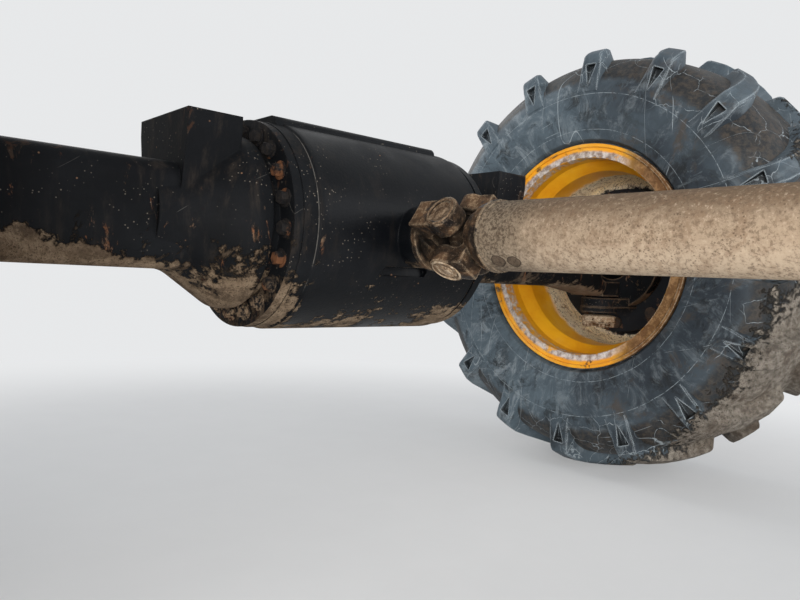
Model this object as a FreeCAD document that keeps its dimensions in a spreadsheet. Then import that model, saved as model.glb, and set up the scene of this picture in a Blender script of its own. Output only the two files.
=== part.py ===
import FreeCAD, Part
import math
import os
import re

import Sketcher

# Steering drive axle of a site dumper, with its two wheels and its propeller shaft.
# Millimetres, +Z up, +X along the axle to the right wheel, -Y towards the gearbox.
# The origin is the middle of the four chassis bolts, on the plane of the pads' tops.
# Every sub-part is drawn about the axle's centre, and its placement lowers it by axle_drop.

# Driving sizes: name, value, what it measures
SIZES = [
    ("axle_drop", 150, "chassis pads' tops above the axle's centre line"),
    ("kingpin_span", 1620, "between the two kingpin axes"),
    ("wheel_offset", 70, "kingpin axis to the tyre's middle"),
    ("fit", 0.3, "gap round a pin, shaft or bore"),
    ("swing_gap", 5, "least gap between pieces that move past each other"),
    ("sink", 2, "how far one form runs into the one it is fused to"),
    # Centre housing
    ("drum_radius", 168, "round the crown wheel"),
    ("drum_left", 228, "pinion to the left arm's joint face"),
    ("drum_right", 160, "pinion to the right arm's joint face"),
    ("drum_rim_radius", 165, "step beside the left joint face"),
    ("drum_rim_width", 25, "width of that step"),
    ("drum_edge", 14, "rounding of the drum's right edge"),
    ("back_height", 172, "flat back of the housing above the centre line"),
    ("back_half_width", 52, "half width of the flat back"),
    ("back_slope", 30, "how far its sides lean out"),
    ("slot_length", 98, "shallow casting slot in the front of the drum"),
    ("slot_width", 15, "width of the casting slot"),
    ("slot_depth", 9, "depth of the casting slot"),
    ("slot_drop", 64, "casting slot below the centre line"),
    ("slot_left", 20, "casting slot's middle to the left of the pinion"),
    # Arms
    ("bell_flange_radius", 164, "bolted flange of an arm"),
    ("bell_flange_width", 16, "thickness of that flange"),
    ("bell_groove_radius", 125, "groove behind the flange, where its bolts sit"),
    ("bell_groove_width", 16, "that groove"),
    ("bell_root_radius", 135, "bell behind the groove"),
    ("bell_shoulder", 22, "straight part of the bell behind the groove"),
    ("bell_waist", 122, "flange to the foot of the bell's slope"),
    ("bell_waist_radius", 78, "foot of the bell's slope"),
    ("bell_sweep", 60, "hollow curve at that foot"),
    ("bell_rounding", 24, "edge between that shoulder and the slope"),
    ("bell_length", 160, "flange to the plain arm"),
    ("arm_half_height", 77, "plain arm"),
    ("arm_half_width", 66, "plain arm"),
    ("arm_corner", 28, "plain arm's corner radius"),
    ("fork_half_height", 97, "outsides of the eyes at an arm's end"),
    ("fork_half_width", 54, "arm where it meets the eyes"),
    ("fork_flare", 130, "length of the flare before the fork"),
    ("fork_reach", 60, "end of the flare to the kingpin axis"),
    ("eye_radius", 47, "eye round a kingpin"),
    ("fork_gap", 60, "half height between the two eyes"),
    ("fork_throat", 92, "kingpin axis to the end of the gap"),
    ("throat_corner", 30, "rounding of the gap's end"),
    # Chassis pads
    ("pad_span", 660, "between the middles of the two pads"),
    ("pad_length", 84, "along the axle"),
    ("pad_half_width", 84, "across the axle"),
    ("pad_thickness", 24, "square edge of a pad"),
    ("pad_bolt_span", 120, "between a pad's two bolts"),
    ("pad_bolt_radius", 12, "thread of a chassis bolt"),
    ("pad_bolt_depth", 48, "thread of a chassis bolt"),
    # Kingpins and knuckles
    ("kingpin_radius", 22, "pin"),
    ("kingpin_flange_radius", 44, "round flange that is bolted to the ear"),
    ("kingpin_flange_width", 14, "thickness of that flange"),
    ("kingpin_boss_radius", 26, "grease boss on the flange"),
    ("kingpin_boss_height", 14, "grease boss above the flange"),
    ("kingpin_boss_slope", 6, "grease boss, narrower at its end by"),
    ("ear_radius", 46, "knuckle's ear round a kingpin"),
    ("ear_width", 24, "thickness of an ear"),
    ("ear_flare", 12, "ear's widening on each side towards the carrier"),
    ("carrier_radius", 130, "knuckle's round end that carries the hub"),
    ("spindle_wall", 12, "hollow spindle inside the hub"),
    ("spindle_length", 86, "spindle beyond the carrier"),
    ("cup_bore", 52, "hollow in the knuckle round the joint's ball"),
    ("steering_arm", 150, "kingpin axis to the tie rod's pin"),
    ("arm_plate", 22, "thickness of the steering arm"),
    ("arm_plate_top", 17, "steering arm's top below the centre line"),
    ("arm_eye_radius", 25, "eye at the end of the steering arm"),
    ("arm_inset", 6, "steering arm's root inside the carrier's edge"),
    ("arm_rounding", 20, "steering arm's hollow corners"),
    # Drive joints at the kingpins
    ("ball_radius", 44, "ball of a drive joint"),
    ("half_shaft_radius", 24, "drive shaft between ball and arm"),
    ("shaft_bore_depth", 30, "how far that shaft enters the arm"),
    # Steering cylinder and tie rods
    ("cylinder_back", 215, "steering cylinder behind the axle's centre line"),
    ("cylinder_radius", 38, "barrel"),
    ("cylinder_length", 300, "barrel"),
    ("gland_radius", 30, "gland at each end of the barrel"),
    ("gland_length", 16, "gland at each end of the barrel"),
    ("rod_radius", 16, "steering rod"),
    ("rod_stroke", 74, "each way from the middle"),
    ("rod_spare", 20, "rod left outside at full stroke"),
    ("rod_collar", 4, "collar at each end of the rod, above the rod"),
    ("clamp_offset", 90, "each clamp from the pinion line"),
    ("clamp_width", 34, "clamp along the axle"),
    ("clamp_wall", 14, "clamp round the barrel"),
    ("port_offset", 128, "each oil port from the cylinder's middle"),
    ("port_radius", 14, "boss of an oil port"),
    ("port_bore", 8, "thread in an oil port"),
    ("port_depth", 14, "thread in an oil port"),
    ("port_height", 16, "boss above the barrel"),
    ("tie_end_gap", 2, "between the rod's end and a tie rod"),
    ("tie_socket_radius", 22, "sockets at a tie rod's ends"),
    ("tie_socket_length", 54, "inner socket"),
    ("tie_radius", 13, "tie rod"),
    ("tie_stud_radius", 9, "stud through the steering arm's eye"),
    ("tie_socket_height", 30, "outer socket"),
    ("tie_boot", 3, "boot between outer socket and steering arm"),
    ("stud_nut_radius", 15, "nut under the steering arm"),
    ("stud_nut_height", 12, "nut under the steering arm"),
    # Hub and wheel
    ("disc_inset", 42, "wheel disc's seat outside the tyre's middle"),
    ("hub_room", 34, "hub's flange to the rim's well"),
    ("hub_flange_width", 22, "thickness of that flange"),
    ("stud_room", 21.5, "wheel studs' circle to the planetary gear's drum"),
    ("hub_barrel_length", 84, "beyond the flange"),
    ("cover_flange_width", 16, "bolted edge of the hub's cover"),
    ("cover_edge", 42, "bolted edge of the hub's cover round its dome"),
    ("cover_height", 22, "dome beyond its edge"),
    ("cover_slope", 14, "slope of the dome's side"),
    ("cover_rounding", 12, "rounding of the dome"),
    ("cover_plug_radius", 22, "oil plug's boss"),
    ("cover_plug_height", 8, "oil plug's boss"),
    ("stud_edge", 24.5, "wheel studs' circle to the flange's edge"),
    ("stud_radius", 10, "wheel stud"),
    ("stud_count", 10, "wheel studs"),
    ("stud_out", 34, "stud beyond the disc"),
    ("nut_radius", 18.5, "wheel nut over its corners"),
    ("nut_height", 20, "wheel nut"),
    ("stud_head_radius", 15, "head behind the hub's flange"),
    ("stud_head_height", 8, "head behind the hub's flange"),
    ("disc_width", 14, "wheel disc"),
    ("disc_slope", 20, "sloping edge of the disc"),
    ("disc_dish", 20, "disc's edge beyond its seat"),
    ("rim_half_width", 165, "between the tyre's bead and the rim's middle"),
    ("rim_seat_radius", 254, "bead seat"),
    ("rim_flange_height", 26, "rim's outer edge above the bead seat"),
    ("rim_well_depth", 20, "well below the bead seats"),
    ("rim_wall", 8, "rim's steel"),
    ("rim_lip", 13, "rim's edge, rolled outwards"),
    ("rim_seat_width", 44, "bead seat"),
    ("rim_ramp", 34, "slope from seat to well"),
    # Tyre
    ("tyre_radius", 537.5, "over the lugs"),
    ("tyre_half_width", 203, "over the sidewalls"),
    ("tread_half_width", 192, "over the lugs' shoulders"),
    ("lug_count", 16, "lugs on each half of the tread"),
    ("lug_height", 28, "lugs above the casing at the tread's middle"),
    ("lug_slant", 12, "degrees that a lug runs back from shoulder to middle"),
    ("shoulder_drop", 42, "lugs' shoulders below the tread's middle"),
    ("lug_foot_drop", 132, "lugs' feet on the sidewall below the tread's middle"),
    ("lug_foot_half", 30, "half width of a lug's foot on the sidewall"),
    ("lug_top_half", 23, "half width of a lug's top"),
    ("lug_slot_half", 14, "half width of the wedge-shaped slot in a lug's end"),
    ("lug_slot_depth", 14, "that slot"),
    ("lug_nose", 26, "lug's inner end to the tread's middle line"),
    ("lug_phase", 2.2, "degrees from the axle's level to an inboard lug"),
    # Propeller shaft
    ("pinion_drop", 6, "pinion below the axle's centre line"),
    ("nose_radius", 50, "pinion's nose on the housing"),
    ("nose_front", 196, "nose in front of the axle's centre line"),
    ("seal_radius", 34, "pinion shaft's seal"),
    ("seal_depth", 12, "pinion shaft's seal"),
    ("joint_front", 264, "first shaft joint in front of the centre line"),
    ("joint_spacing", 734, "between the shaft's two joints"),
    ("yoke_flange_radius", 55, "round flange of a yoke"),
    ("yoke_flange_width", 11, "thickness of that flange"),
    ("yoke_flange_back", 62, "joint to the flange's back"),
    ("yoke_recess", 5, "hollow in the flange's face"),
    ("yoke_face_ring", 8, "ring round that hollow"),
    ("yoke_half_width", 23, "fork of a yoke"),
    ("yoke_ear_radius", 28, "ear round a bearing cap"),
    ("yoke_outside", 64, "outsides of the ears"),
    ("yoke_inside", 34, "insides of the ears"),
    ("yoke_floor", 34, "joint to the floor between the ears"),
    ("yoke_corner", 12, "rounding of that floor"),
    ("cap_radius", 17.5, "bearing cap"),
    ("cap_recess", 2.5, "cap below the ear's outside"),
    ("cap_inside", 4, "cap beyond the ear's inside"),
    ("cross_radius", 13, "journals of the cross"),
    ("cross_heart_radius", 23, "middle of the cross"),
    ("joint_turn", 122.5, "degrees that the joints are turned by at rest"),
    ("tube_radius", 51, "shaft's tube"),
    ("tube_wall", 5, "shaft's tube"),
    ("tube_start", 72, "joint to the tube's end"),
    ("weld_ring_radius", 53, "weld between tube and yoke"),
    ("weld_ring_width", 9, "that weld"),
    ("neck_radius", 38, "yoke's neck at its floor"),
    ("neck_flare", 4, "neck's widening below its floor"),
    ("neck_step", 10, "length of that widening"),
    ("neck_collar", 14, "straight end of a yoke's neck"),
    ("sleeve_radius", 42, "slip sleeve"),
    ("sleeve_length", 84, "slip sleeve"),
    ("sleeve_plug", 20, "slip sleeve inside the tube"),
    ("sleeve_taper", 12, "slip sleeve's slope from the tube"),
    ("sleeve_cap_radius", 46, "dust cap of the slip sleeve"),
    ("sleeve_cap_length", 18, "dust cap of the slip sleeve"),
    ("spline_radius", 27, "splined shaft"),
    ("spline_shown", 30, "splined shaft outside its sleeve"),
    ("slip_neck", 78, "second joint to the neck's thin end"),
    ("slip_wall", 6, "that end round the splined shaft"),
    ("gearbox_bolt_circle", 42, "gearbox flange's bolts, radius"),
    ("gearbox_bolt_radius", 5.5, "gearbox flange's bolts"),
]

doc = FreeCAD.newDocument("steering_drive_axle")
sheet = doc.addObject("Spreadsheet::Sheet", "Sizes")
for row, (alias, value, meaning) in enumerate(SIZES, start=1):
    sheet.set("A%d" % row, alias)
    sheet.set("B%d" % row, str(value))
    sheet.set("C%d" % row, meaning)
    sheet.setAlias("B%d" % row, alias)
doc.recompute()

# Shorter names for lengths that several pieces share
KINGPIN = "kingpin_span / 2"
WHEEL = "(kingpin_span / 2 + wheel_offset)"
SEAT = "(kingpin_span / 2 + wheel_offset + disc_inset)"
HUB_BACK = "(kingpin_span / 2 + wheel_offset + disc_inset - hub_flange_width)"
RIM_EDGE = "(rim_seat_radius + rim_flange_height)"
RIM_WELL = "(rim_seat_radius - rim_well_depth)"
HUB_FLANGE = "(rim_seat_radius - rim_well_depth - rim_wall - hub_room)"
STUD_CIRCLE = "(%s - stud_edge)" % HUB_FLANGE
HUB_BARREL = "(%s - stud_edge - stud_room)" % HUB_FLANGE
SPINDLE = "(cup_bore + spindle_wall)"
CARRIER_FACE = "(kingpin_span / 2 + eye_radius + swing_gap)"
EAR_UNDER = "(fork_half_height + swing_gap)"
EAR_TOP = "(fork_half_height + swing_gap + ear_width)"
TIE_START = "(cylinder_length / 2 + gland_length + rod_stroke + rod_spare + tie_end_gap)"
SECOND_JOINT = "(joint_front + joint_spacing)"
TUBE_LENGTH = "(joint_spacing - tube_start - sleeve_length - spline_shown - slip_neck)"
TUBE_END = "(-joint_front - tube_start - %s)" % TUBE_LENGTH

ALONG_X = FreeCAD.Rotation(FreeCAD.Vector(0, 1, 0), 90)
ALONG_Y = FreeCAD.Rotation(FreeCAD.Vector(1, 0, 0), -90)
ALONG_Z = FreeCAD.Rotation()

sub_parts = []


def sized(expression):
    """The expression with the sheet's name before each of its sizes."""
    return re.sub(r"\b(?!(?:sin|cos|sqrt|atan)\b)([a-z]\w+)", r"Sizes.\1", str(expression))


def value(expression):
    """The expression's present value in millimetres."""
    return float(sheet.evalExpression(sized(expression)))


def bind(target, path, expression):
    """Ties a property to the sheet, or leaves it at zero."""
    if expression != "0":
        target.setExpression(path, sized(expression))


def keep(piece, label, lower="axle_drop"):
    """Names a finished sub-part and lowers it to the axle's place."""
    piece.Label = label
    bind(piece, "Placement.Base.z", "-(%s)" % lower)
    sub_parts.append(piece)
    return piece


def mirrored(source, label):
    """The left-hand twin of a right-hand sub-part."""
    twin = doc.addObject("Part::Mirroring", label)
    twin.Source = source
    twin.Normal = (1, 0, 0)
    twin.Label = label
    sub_parts.append(twin)
    return twin


# Sketches

def plane_of(piece, role):
    return next(item for item in piece.Origin.OriginFeatures if item.Role == role)


def sketch_on(piece, name, role, offset="0"):
    sketch = piece.newObject("Sketcher::SketchObject", name)
    sketch.AttachmentSupport = [(plane_of(piece, role), "")]
    sketch.MapMode = "FlatFace"
    bind(sketch, "AttachmentOffset.Base.z", offset)
    return sketch


def pin_point(sketch, geometry, end, across, up):
    """Holds a point of the sketch at two expressions from the sketch's origin."""
    for kind, axis, expression in (("DistanceX", -2, across), ("DistanceY", -1, up)):
        if expression == "0":
            sketch.addConstraint(Sketcher.Constraint("PointOnObject", geometry, end, axis))
        else:
            place = value(expression)
            index = sketch.addConstraint(Sketcher.Constraint(kind, -1, 1, geometry, end, place))
            bind(sketch, "Constraints[%d]" % index, expression)


def circle(sketch, across, up, radius):
    centre = FreeCAD.Vector(value(across), value(up), 0)
    shape = Part.Circle(centre, FreeCAD.Vector(0, 0, 1), value(radius))
    index = sketch.addGeometry(shape, False)
    pin_point(sketch, index, 3, across, up)
    size = sketch.addConstraint(Sketcher.Constraint("Radius", index, value(radius)))
    bind(sketch, "Constraints[%d]" % size, radius)
    return sketch


def outline(sketch, corners):
    """A closed outline. A corner is (across, up) or (across, up, rounding radius)."""
    count = len(corners)
    places = [FreeCAD.Vector(value(c[0]), value(c[1]), 0) for c in corners]
    rounding = [value(c[2]) if len(c) > 2 else 0.0 for c in corners]
    before = [(places[i - 1] - places[i]).normalize() for i in range(count)]
    after = [(places[(i + 1) % count] - places[i]).normalize() for i in range(count)]
    half_turn = [before[i].getAngle(after[i]) / 2 for i in range(count)]
    cut = [rounding[i] / math.tan(half_turn[i]) if rounding[i] else 0.0 for i in range(count)]
    lines = []
    for i in range(count):
        j = (i + 1) % count
        start = places[i] + after[i] * cut[i]
        end = places[j] + before[j] * cut[j]
        lines.append(sketch.addGeometry(Part.LineSegment(start, end), False))
    for i in range(count):
        if not rounding[i]:
            sketch.addConstraint(Sketcher.Constraint("Coincident", lines[i - 1], 2, lines[i], 1))
            pin_point(sketch, lines[i], 1, corners[i][0], corners[i][1])
            continue
        reach = rounding[i] / math.sin(half_turn[i])
        centre = places[i] + (before[i] + after[i]).normalize() * reach
        first = places[i] + before[i] * cut[i] - centre
        last = places[i] + after[i] * cut[i] - centre
        left_turn = before[i].cross(after[i]).z < 0
        start, end = (first, last) if left_turn else (last, first)
        ring = Part.Circle(centre, FreeCAD.Vector(0, 0, 1), rounding[i])
        sweep = Part.ArcOfCircle(ring, math.atan2(start.y, start.x), math.atan2(end.y, end.x))
        arc = sketch.addGeometry(sweep, False)
        corner = sketch.addGeometry(Part.Point(places[i]), True)
        first_end, last_end = (1, 2) if left_turn else (2, 1)
        sketch.addConstraint(Sketcher.Constraint("Tangent", lines[i - 1], 2, arc, first_end))
        sketch.addConstraint(Sketcher.Constraint("Tangent", lines[i], 1, arc, last_end))
        sketch.addConstraint(Sketcher.Constraint("PointOnObject", corner, 1, lines[i - 1]))
        sketch.addConstraint(Sketcher.Constraint("PointOnObject", corner, 1, lines[i]))
        pin_point(sketch, corner, 1, corners[i][0], corners[i][1])
        size = sketch.addConstraint(Sketcher.Constraint("Radius", arc, rounding[i]))
        bind(sketch, "Constraints[%d]" % size, corners[i][2])
    return sketch


def rounded_box(sketch, half_width, half_height, corner):
    """A rectangle about the sketch's origin with four round corners."""
    return outline(sketch, [
        ("-(%s)" % half_width, "-(%s)" % half_height, corner),
        (half_width, "-(%s)" % half_height, corner),
        (half_width, half_height, corner),
        ("-(%s)" % half_width, half_height, corner),
    ])


# Features

def body(name):
    return doc.addObject("PartDesign::Body", name)


def pad(piece, sketch, length, both_ways=False, backwards=False):
    feature = piece.newObject("PartDesign::Pad", sketch.Name + "_pad")
    feature.Profile = sketch
    bind(feature, "Length", length)
    feature.SideType = "Symmetric" if both_ways else "One side"
    feature.Reversed = backwards
    return feature


def pocket(piece, sketch, length, both_ways=False, backwards=False):
    feature = piece.newObject("PartDesign::Pocket", sketch.Name + "_pocket")
    feature.Profile = sketch
    bind(feature, "Length", length)
    feature.SideType = "Symmetric" if both_ways else "One side"
    feature.Reversed = backwards
    return feature


def turned(piece, sketch, axis="H_Axis"):
    feature = piece.newObject("PartDesign::Revolution", sketch.Name + "_turned")
    feature.Profile = sketch
    feature.ReferenceAxis = (sketch, [axis])
    feature.Angle = 360
    return feature


def repeated(piece, feature, sketch, count):
    """The feature repeated round the sketch's own normal."""
    pattern = piece.newObject("PartDesign::PolarPattern", feature.Name + "_ring")
    pattern.Originals = [feature]
    pattern.Axis = (sketch, ["N_Axis"])
    pattern.Angle = 360
    bind(pattern, "Occurrences", count)
    piece.Tip = pattern
    return pattern


def lofted(piece, sketches):
    feature = piece.newObject("PartDesign::AdditiveLoft", sketches[0].Name + "_loft")
    feature.Profile = sketches[0]
    feature.Sections = sketches[1:]
    return feature


# Plain solids

def place(solid, at, rotation):
    solid.Placement = FreeCAD.Placement(FreeCAD.Vector(), rotation)
    for axis, expression in zip("xyz", at):
        bind(solid, "Placement.Base." + axis, expression)
    return solid


def rod(name, radius, length, at, rotation=ALONG_X):
    solid = doc.addObject("Part::Cylinder", name)
    bind(solid, "Radius", radius)
    bind(solid, "Height", length)
    return place(solid, at, rotation)


def ball(name, radius, at):
    solid = doc.addObject("Part::Sphere", name)
    bind(solid, "Radius", radius)
    return place(solid, at, ALONG_Z)


def block(name, length, width, height, at):
    """A box from the corner that is lowest in X, Y and Z."""
    solid = doc.addObject("Part::Box", name)
    bind(solid, "Length", length)
    bind(solid, "Width", width)
    bind(solid, "Height", height)
    return place(solid, at, ALONG_Z)


def prism(name, radius, height, at, rotation=ALONG_X):
    """A hexagon over its corners."""
    solid = doc.addObject("Part::Prism", name)
    solid.Polygon = 6
    bind(solid, "Circumradius", radius)
    bind(solid, "Height", height)
    return place(solid, at, rotation)


def joined(name, solids):
    whole = doc.addObject("Part::MultiFuse", name)
    whole.Shapes = solids
    return whole


def cut_from(name, base, tool):
    rest = doc.addObject("Part::Cut", name)
    rest.Base = base
    rest.Tool = tool
    return rest


# Centre housing: turned drum, flat back, pinion nose and casting slot

def make_centre_housing():
    piece = body("centre_housing")
    drum = sketch_on(piece, "drum_profile", "XY_Plane")
    outline(drum, [
        ("-drum_left", "0"),
        ("drum_right", "0"),
        ("drum_right", "drum_radius", "drum_edge"),
        ("-drum_left + drum_rim_width + drum_radius - drum_rim_radius", "drum_radius"),
        ("-drum_left + drum_rim_width", "drum_rim_radius"),
        ("-drum_left", "drum_rim_radius"),
    ])
    turned(piece, drum)
    back = sketch_on(piece, "back_profile", "YZ_Plane", "-drum_left + drum_rim_width / 2")
    outline(back, [
        ("-back_half_width - back_slope", "0"),
        ("back_half_width + back_slope", "0"),
        ("back_half_width", "back_height", "drum_edge"),
        ("-back_half_width", "back_height", "drum_edge"),
    ])
    pad(piece, back, "drum_left + drum_right - drum_rim_width / 2 - drum_edge * 2")
    nose = sketch_on(piece, "nose_profile", "XZ_Plane")
    circle(nose, "0", "-pinion_drop", "nose_radius")
    pad(piece, nose, "nose_front")
    seal = sketch_on(piece, "seal_profile", "XZ_Plane", "nose_front - seal_depth - fit")
    circle(seal, "0", "-pinion_drop", "seal_radius + fit")
    pocket(piece, seal, "seal_depth + 1", backwards=True)
    slot = sketch_on(piece, "slot_profile", "XZ_Plane", "sqrt(drum_radius ^ 2 - slot_drop ^ 2) - slot_depth")
    slot_corner = "slot_width * 0.48"
    outline(slot, [
        ("-slot_left - slot_length / 2", "-slot_drop - slot_width / 2", slot_corner),
        ("-slot_left + slot_length / 2", "-slot_drop - slot_width / 2", slot_corner),
        ("-slot_left + slot_length / 2", "-slot_drop + slot_width / 2", slot_corner),
        ("-slot_left - slot_length / 2", "-slot_drop + slot_width / 2", slot_corner),
    ])
    pocket(piece, slot, "slot_depth * 3", backwards=True)
    return keep(piece, "centre_housing")


# Arm: bolted flange, bell, box section, chassis pad and the fork round the drive joint

def make_arm(side, joint_face):
    name = side + "_arm"
    piece = body(name)
    flange = sketch_on(piece, name + "_flange", "YZ_Plane", joint_face)
    circle(flange, "0", "0", "bell_flange_radius")
    pad(piece, flange, "bell_flange_width")

    # The bell is turned, and the box section runs into it until the corners sink in
    root = joint_face + " + bell_flange_width"
    bell = sketch_on(piece, name + "_bell", "XY_Plane")
    outline(bell, [
        (root, "0"),
        (root, "bell_groove_radius"),
        (root + " + bell_groove_width", "bell_groove_radius"),
        (root + " + bell_groove_width", "bell_root_radius"),
        (root + " + bell_groove_width + bell_shoulder", "bell_root_radius", "bell_rounding"),
        (root + " + bell_waist", "bell_waist_radius", "bell_sweep"),
        (root + " + bell_length", "arm_half_height - sink"),
        (root + " + bell_length", "0"),
    ])
    turned(piece, bell)

    flare_start = KINGPIN + " - fork_reach - fork_flare"
    plain_start = root + " + bell_groove_width"
    plain = sketch_on(piece, name + "_plain", "YZ_Plane", plain_start)
    rounded_box(plain, "arm_half_width", "arm_half_height", "arm_corner")
    pad(piece, plain, "(%s) - (%s)" % (flare_start, plain_start))
    narrow = sketch_on(piece, name + "_narrow", "YZ_Plane", flare_start)
    rounded_box(narrow, "arm_half_width", "arm_half_height", "arm_corner")
    wide = sketch_on(piece, name + "_wide", "YZ_Plane", KINGPIN + " - fork_reach")
    rounded_box(wide, "fork_half_width", "fork_half_height", "arm_corner")
    lofted(piece, [narrow, wide])

    eyes = sketch_on(piece, name + "_eyes", "XY_Plane")
    circle(eyes, KINGPIN, "0", "eye_radius")
    pad(piece, eyes, "fork_half_height * 2", both_ways=True)
    bridge = sketch_on(piece, name + "_bridge", "XY_Plane")
    outline(bridge, [
        (KINGPIN + " - fork_reach - sink", "-eye_radius"),
        (KINGPIN, "-eye_radius"),
        (KINGPIN, "eye_radius"),
        (KINGPIN + " - fork_reach - sink", "eye_radius"),
    ])
    pad(piece, bridge, "fork_half_height * 2", both_ways=True)
    gap = sketch_on(piece, name + "_gap", "XZ_Plane")
    outline(gap, [
        (KINGPIN + " - fork_throat", "-fork_gap", "throat_corner"),
        (KINGPIN + " + eye_radius * 2", "-fork_gap"),
        (KINGPIN + " + eye_radius * 2", "fork_gap"),
        (KINGPIN + " - fork_throat", "fork_gap", "throat_corner"),
    ])
    pocket(piece, gap, "arm_half_width * 4", both_ways=True)
    pins = sketch_on(piece, name + "_pins", "XY_Plane")
    circle(pins, KINGPIN, "0", "kingpin_radius + fit")
    pocket(piece, pins, "fork_half_height * 4", both_ways=True)
    shaft_end = KINGPIN + " - fork_throat - shaft_bore_depth - fit"
    shaft = sketch_on(piece, name + "_shaft_bore", "YZ_Plane", shaft_end)
    circle(shaft, "0", "0", "half_shaft_radius + fit")
    pocket(piece, shaft, "shaft_bore_depth * 2", backwards=True)

    seat = sketch_on(piece, name + "_pad", "YZ_Plane", "pad_span / 2")
    outline(seat, [
        ("-arm_half_width + sink", "0"),
        ("arm_half_width - sink", "0"),
        ("pad_half_width", "axle_drop - pad_thickness"),
        ("pad_half_width", "axle_drop"),
        ("-pad_half_width", "axle_drop"),
        ("-pad_half_width", "axle_drop - pad_thickness"),
    ])
    pad(piece, seat, "pad_length", both_ways=True)
    bolts = sketch_on(piece, name + "_pad_bolts", "XY_Plane", "axle_drop - pad_bolt_depth")
    circle(bolts, "pad_span / 2", "-pad_bolt_span / 2", "pad_bolt_radius")
    circle(bolts, "pad_span / 2", "pad_bolt_span / 2", "pad_bolt_radius")
    pocket(piece, bolts, "pad_bolt_depth + sink", backwards=True)
    return piece


# Knuckle: two ears, the round carrier, the hollow spindle and the steering arm

def make_knuckle():
    piece = body("knuckle")
    carrier = sketch_on(piece, "carrier_profile", "XY_Plane")
    carrier_end = HUB_BACK + " - swing_gap"
    outline(carrier, [
        (CARRIER_FACE, "cup_bore"),
        (carrier_end + " + spindle_length", "cup_bore"),
        (carrier_end + " + spindle_length", SPINDLE),
        (carrier_end, SPINDLE),
        (carrier_end, "carrier_radius"),
        (CARRIER_FACE, "carrier_radius"),
    ])
    turned(piece, carrier)
    # Ears above and below the fork
    for side, start in (("upper", EAR_UNDER), ("lower", "-" + EAR_TOP)):
        ear = sketch_on(piece, side + "_ear", "XY_Plane", start)
        circle(ear, KINGPIN, "0", "ear_radius")
        pad(piece, ear, "ear_width")
        tongue = sketch_on(piece, side + "_tongue", "XY_Plane", start)
        outline(tongue, [
            (KINGPIN, "-ear_radius"),
            (carrier_end, "-ear_radius - ear_flare"),
            (carrier_end, "ear_radius + ear_flare"),
            (KINGPIN, "ear_radius"),
        ])
        pad(piece, tongue, "ear_width")
    pins = sketch_on(piece, "ear_bores", "XY_Plane")
    circle(pins, KINGPIN, "0", "kingpin_radius")
    pocket(piece, pins, EAR_TOP + " * 3", both_ways=True)
    arm = sketch_on(piece, "steering_arm", "XY_Plane", "-arm_plate_top - arm_plate")
    outline(arm, [
        (CARRIER_FACE, "carrier_radius * 0.6"),
        (carrier_end, "carrier_radius * 0.6"),
        (carrier_end, "carrier_radius - arm_inset", "arm_rounding"),
        (KINGPIN + " + arm_eye_radius * 0.6", "steering_arm + arm_eye_radius * 0.8"),
        (KINGPIN, "steering_arm"),
        (KINGPIN + " - arm_eye_radius * 0.2", "steering_arm - arm_eye_radius * 0.9"),
        (CARRIER_FACE, "carrier_radius - arm_inset * 4", "arm_rounding"),
    ])
    pad(piece, arm, "arm_plate")
    eye = sketch_on(piece, "steering_eye", "XY_Plane", "-arm_plate_top - arm_plate")
    circle(eye, KINGPIN, "steering_arm", "arm_eye_radius")
    pad(piece, eye, "arm_plate")
    bore = sketch_on(piece, "steering_eye_bore", "XY_Plane", "-arm_plate_top - arm_plate - sink")
    circle(bore, KINGPIN, "steering_arm", "tie_stud_radius + fit")
    pocket(piece, bore, "arm_plate + sink * 2", backwards=True)
    return piece


def make_kingpin(side):
    """A flanged pin through the knuckle's ear into the arm's eye."""
    name = "kingpin_" + side
    piece = body(name)
    profile = sketch_on(piece, name + "_profile", "XZ_Plane")
    up = "" if side == "upper" else "-"
    flange_top = "(%s + kingpin_flange_width)" % EAR_TOP
    boss_top = "(%s + kingpin_flange_width + kingpin_boss_height)" % EAR_TOP
    steps = [
        ("0", "(fork_gap + sink)"),
        ("kingpin_radius", "(fork_gap + sink)"),
        ("kingpin_radius", EAR_TOP),
        ("kingpin_flange_radius", EAR_TOP),
        ("kingpin_flange_radius", flange_top),
        ("kingpin_boss_radius", flange_top),
        ("kingpin_boss_radius - kingpin_boss_slope", boss_top),
        ("0", boss_top),
    ]
    outline(profile, [(across, up + height) for across, height in steps])
    turned(piece, profile, "V_Axis")
    bind(piece, "Placement.Base.x", KINGPIN)
    return piece


# Drive joint between the arm's half shaft and the wheel, seen inside the fork

def make_drive_joint():
    shaft = rod("half_shaft", "half_shaft_radius", "fork_throat + shaft_bore_depth",
                (KINGPIN + " - fork_throat - shaft_bore_depth", "0", "0"))
    heart = ball("joint_ball", "ball_radius", (KINGPIN, "0", "0"))
    return joined("drive_joint", [shaft, heart])


# Hub, its cover and the wheel studs with their nuts

def make_hub():
    piece = body("hub")
    profile = sketch_on(piece, "hub_profile", "XY_Plane")
    bore = SPINDLE + " + fit"
    outline(profile, [
        (HUB_BACK, bore),
        (HUB_BACK, HUB_FLANGE),
        (SEAT, HUB_FLANGE),
        (SEAT, HUB_BARREL),
        (SEAT + " + hub_barrel_length", HUB_BARREL),
        (SEAT + " + hub_barrel_length", bore),
    ])
    turned(piece, profile)
    holes = sketch_on(piece, "hub_stud_holes", "YZ_Plane", HUB_BACK + " - sink")
    circle(holes, "0", STUD_CIRCLE, "stud_radius + fit")
    hole = pocket(piece, holes, "hub_flange_width + sink * 2", backwards=True)
    repeated(piece, hole, holes, "stud_count")
    return piece


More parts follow.
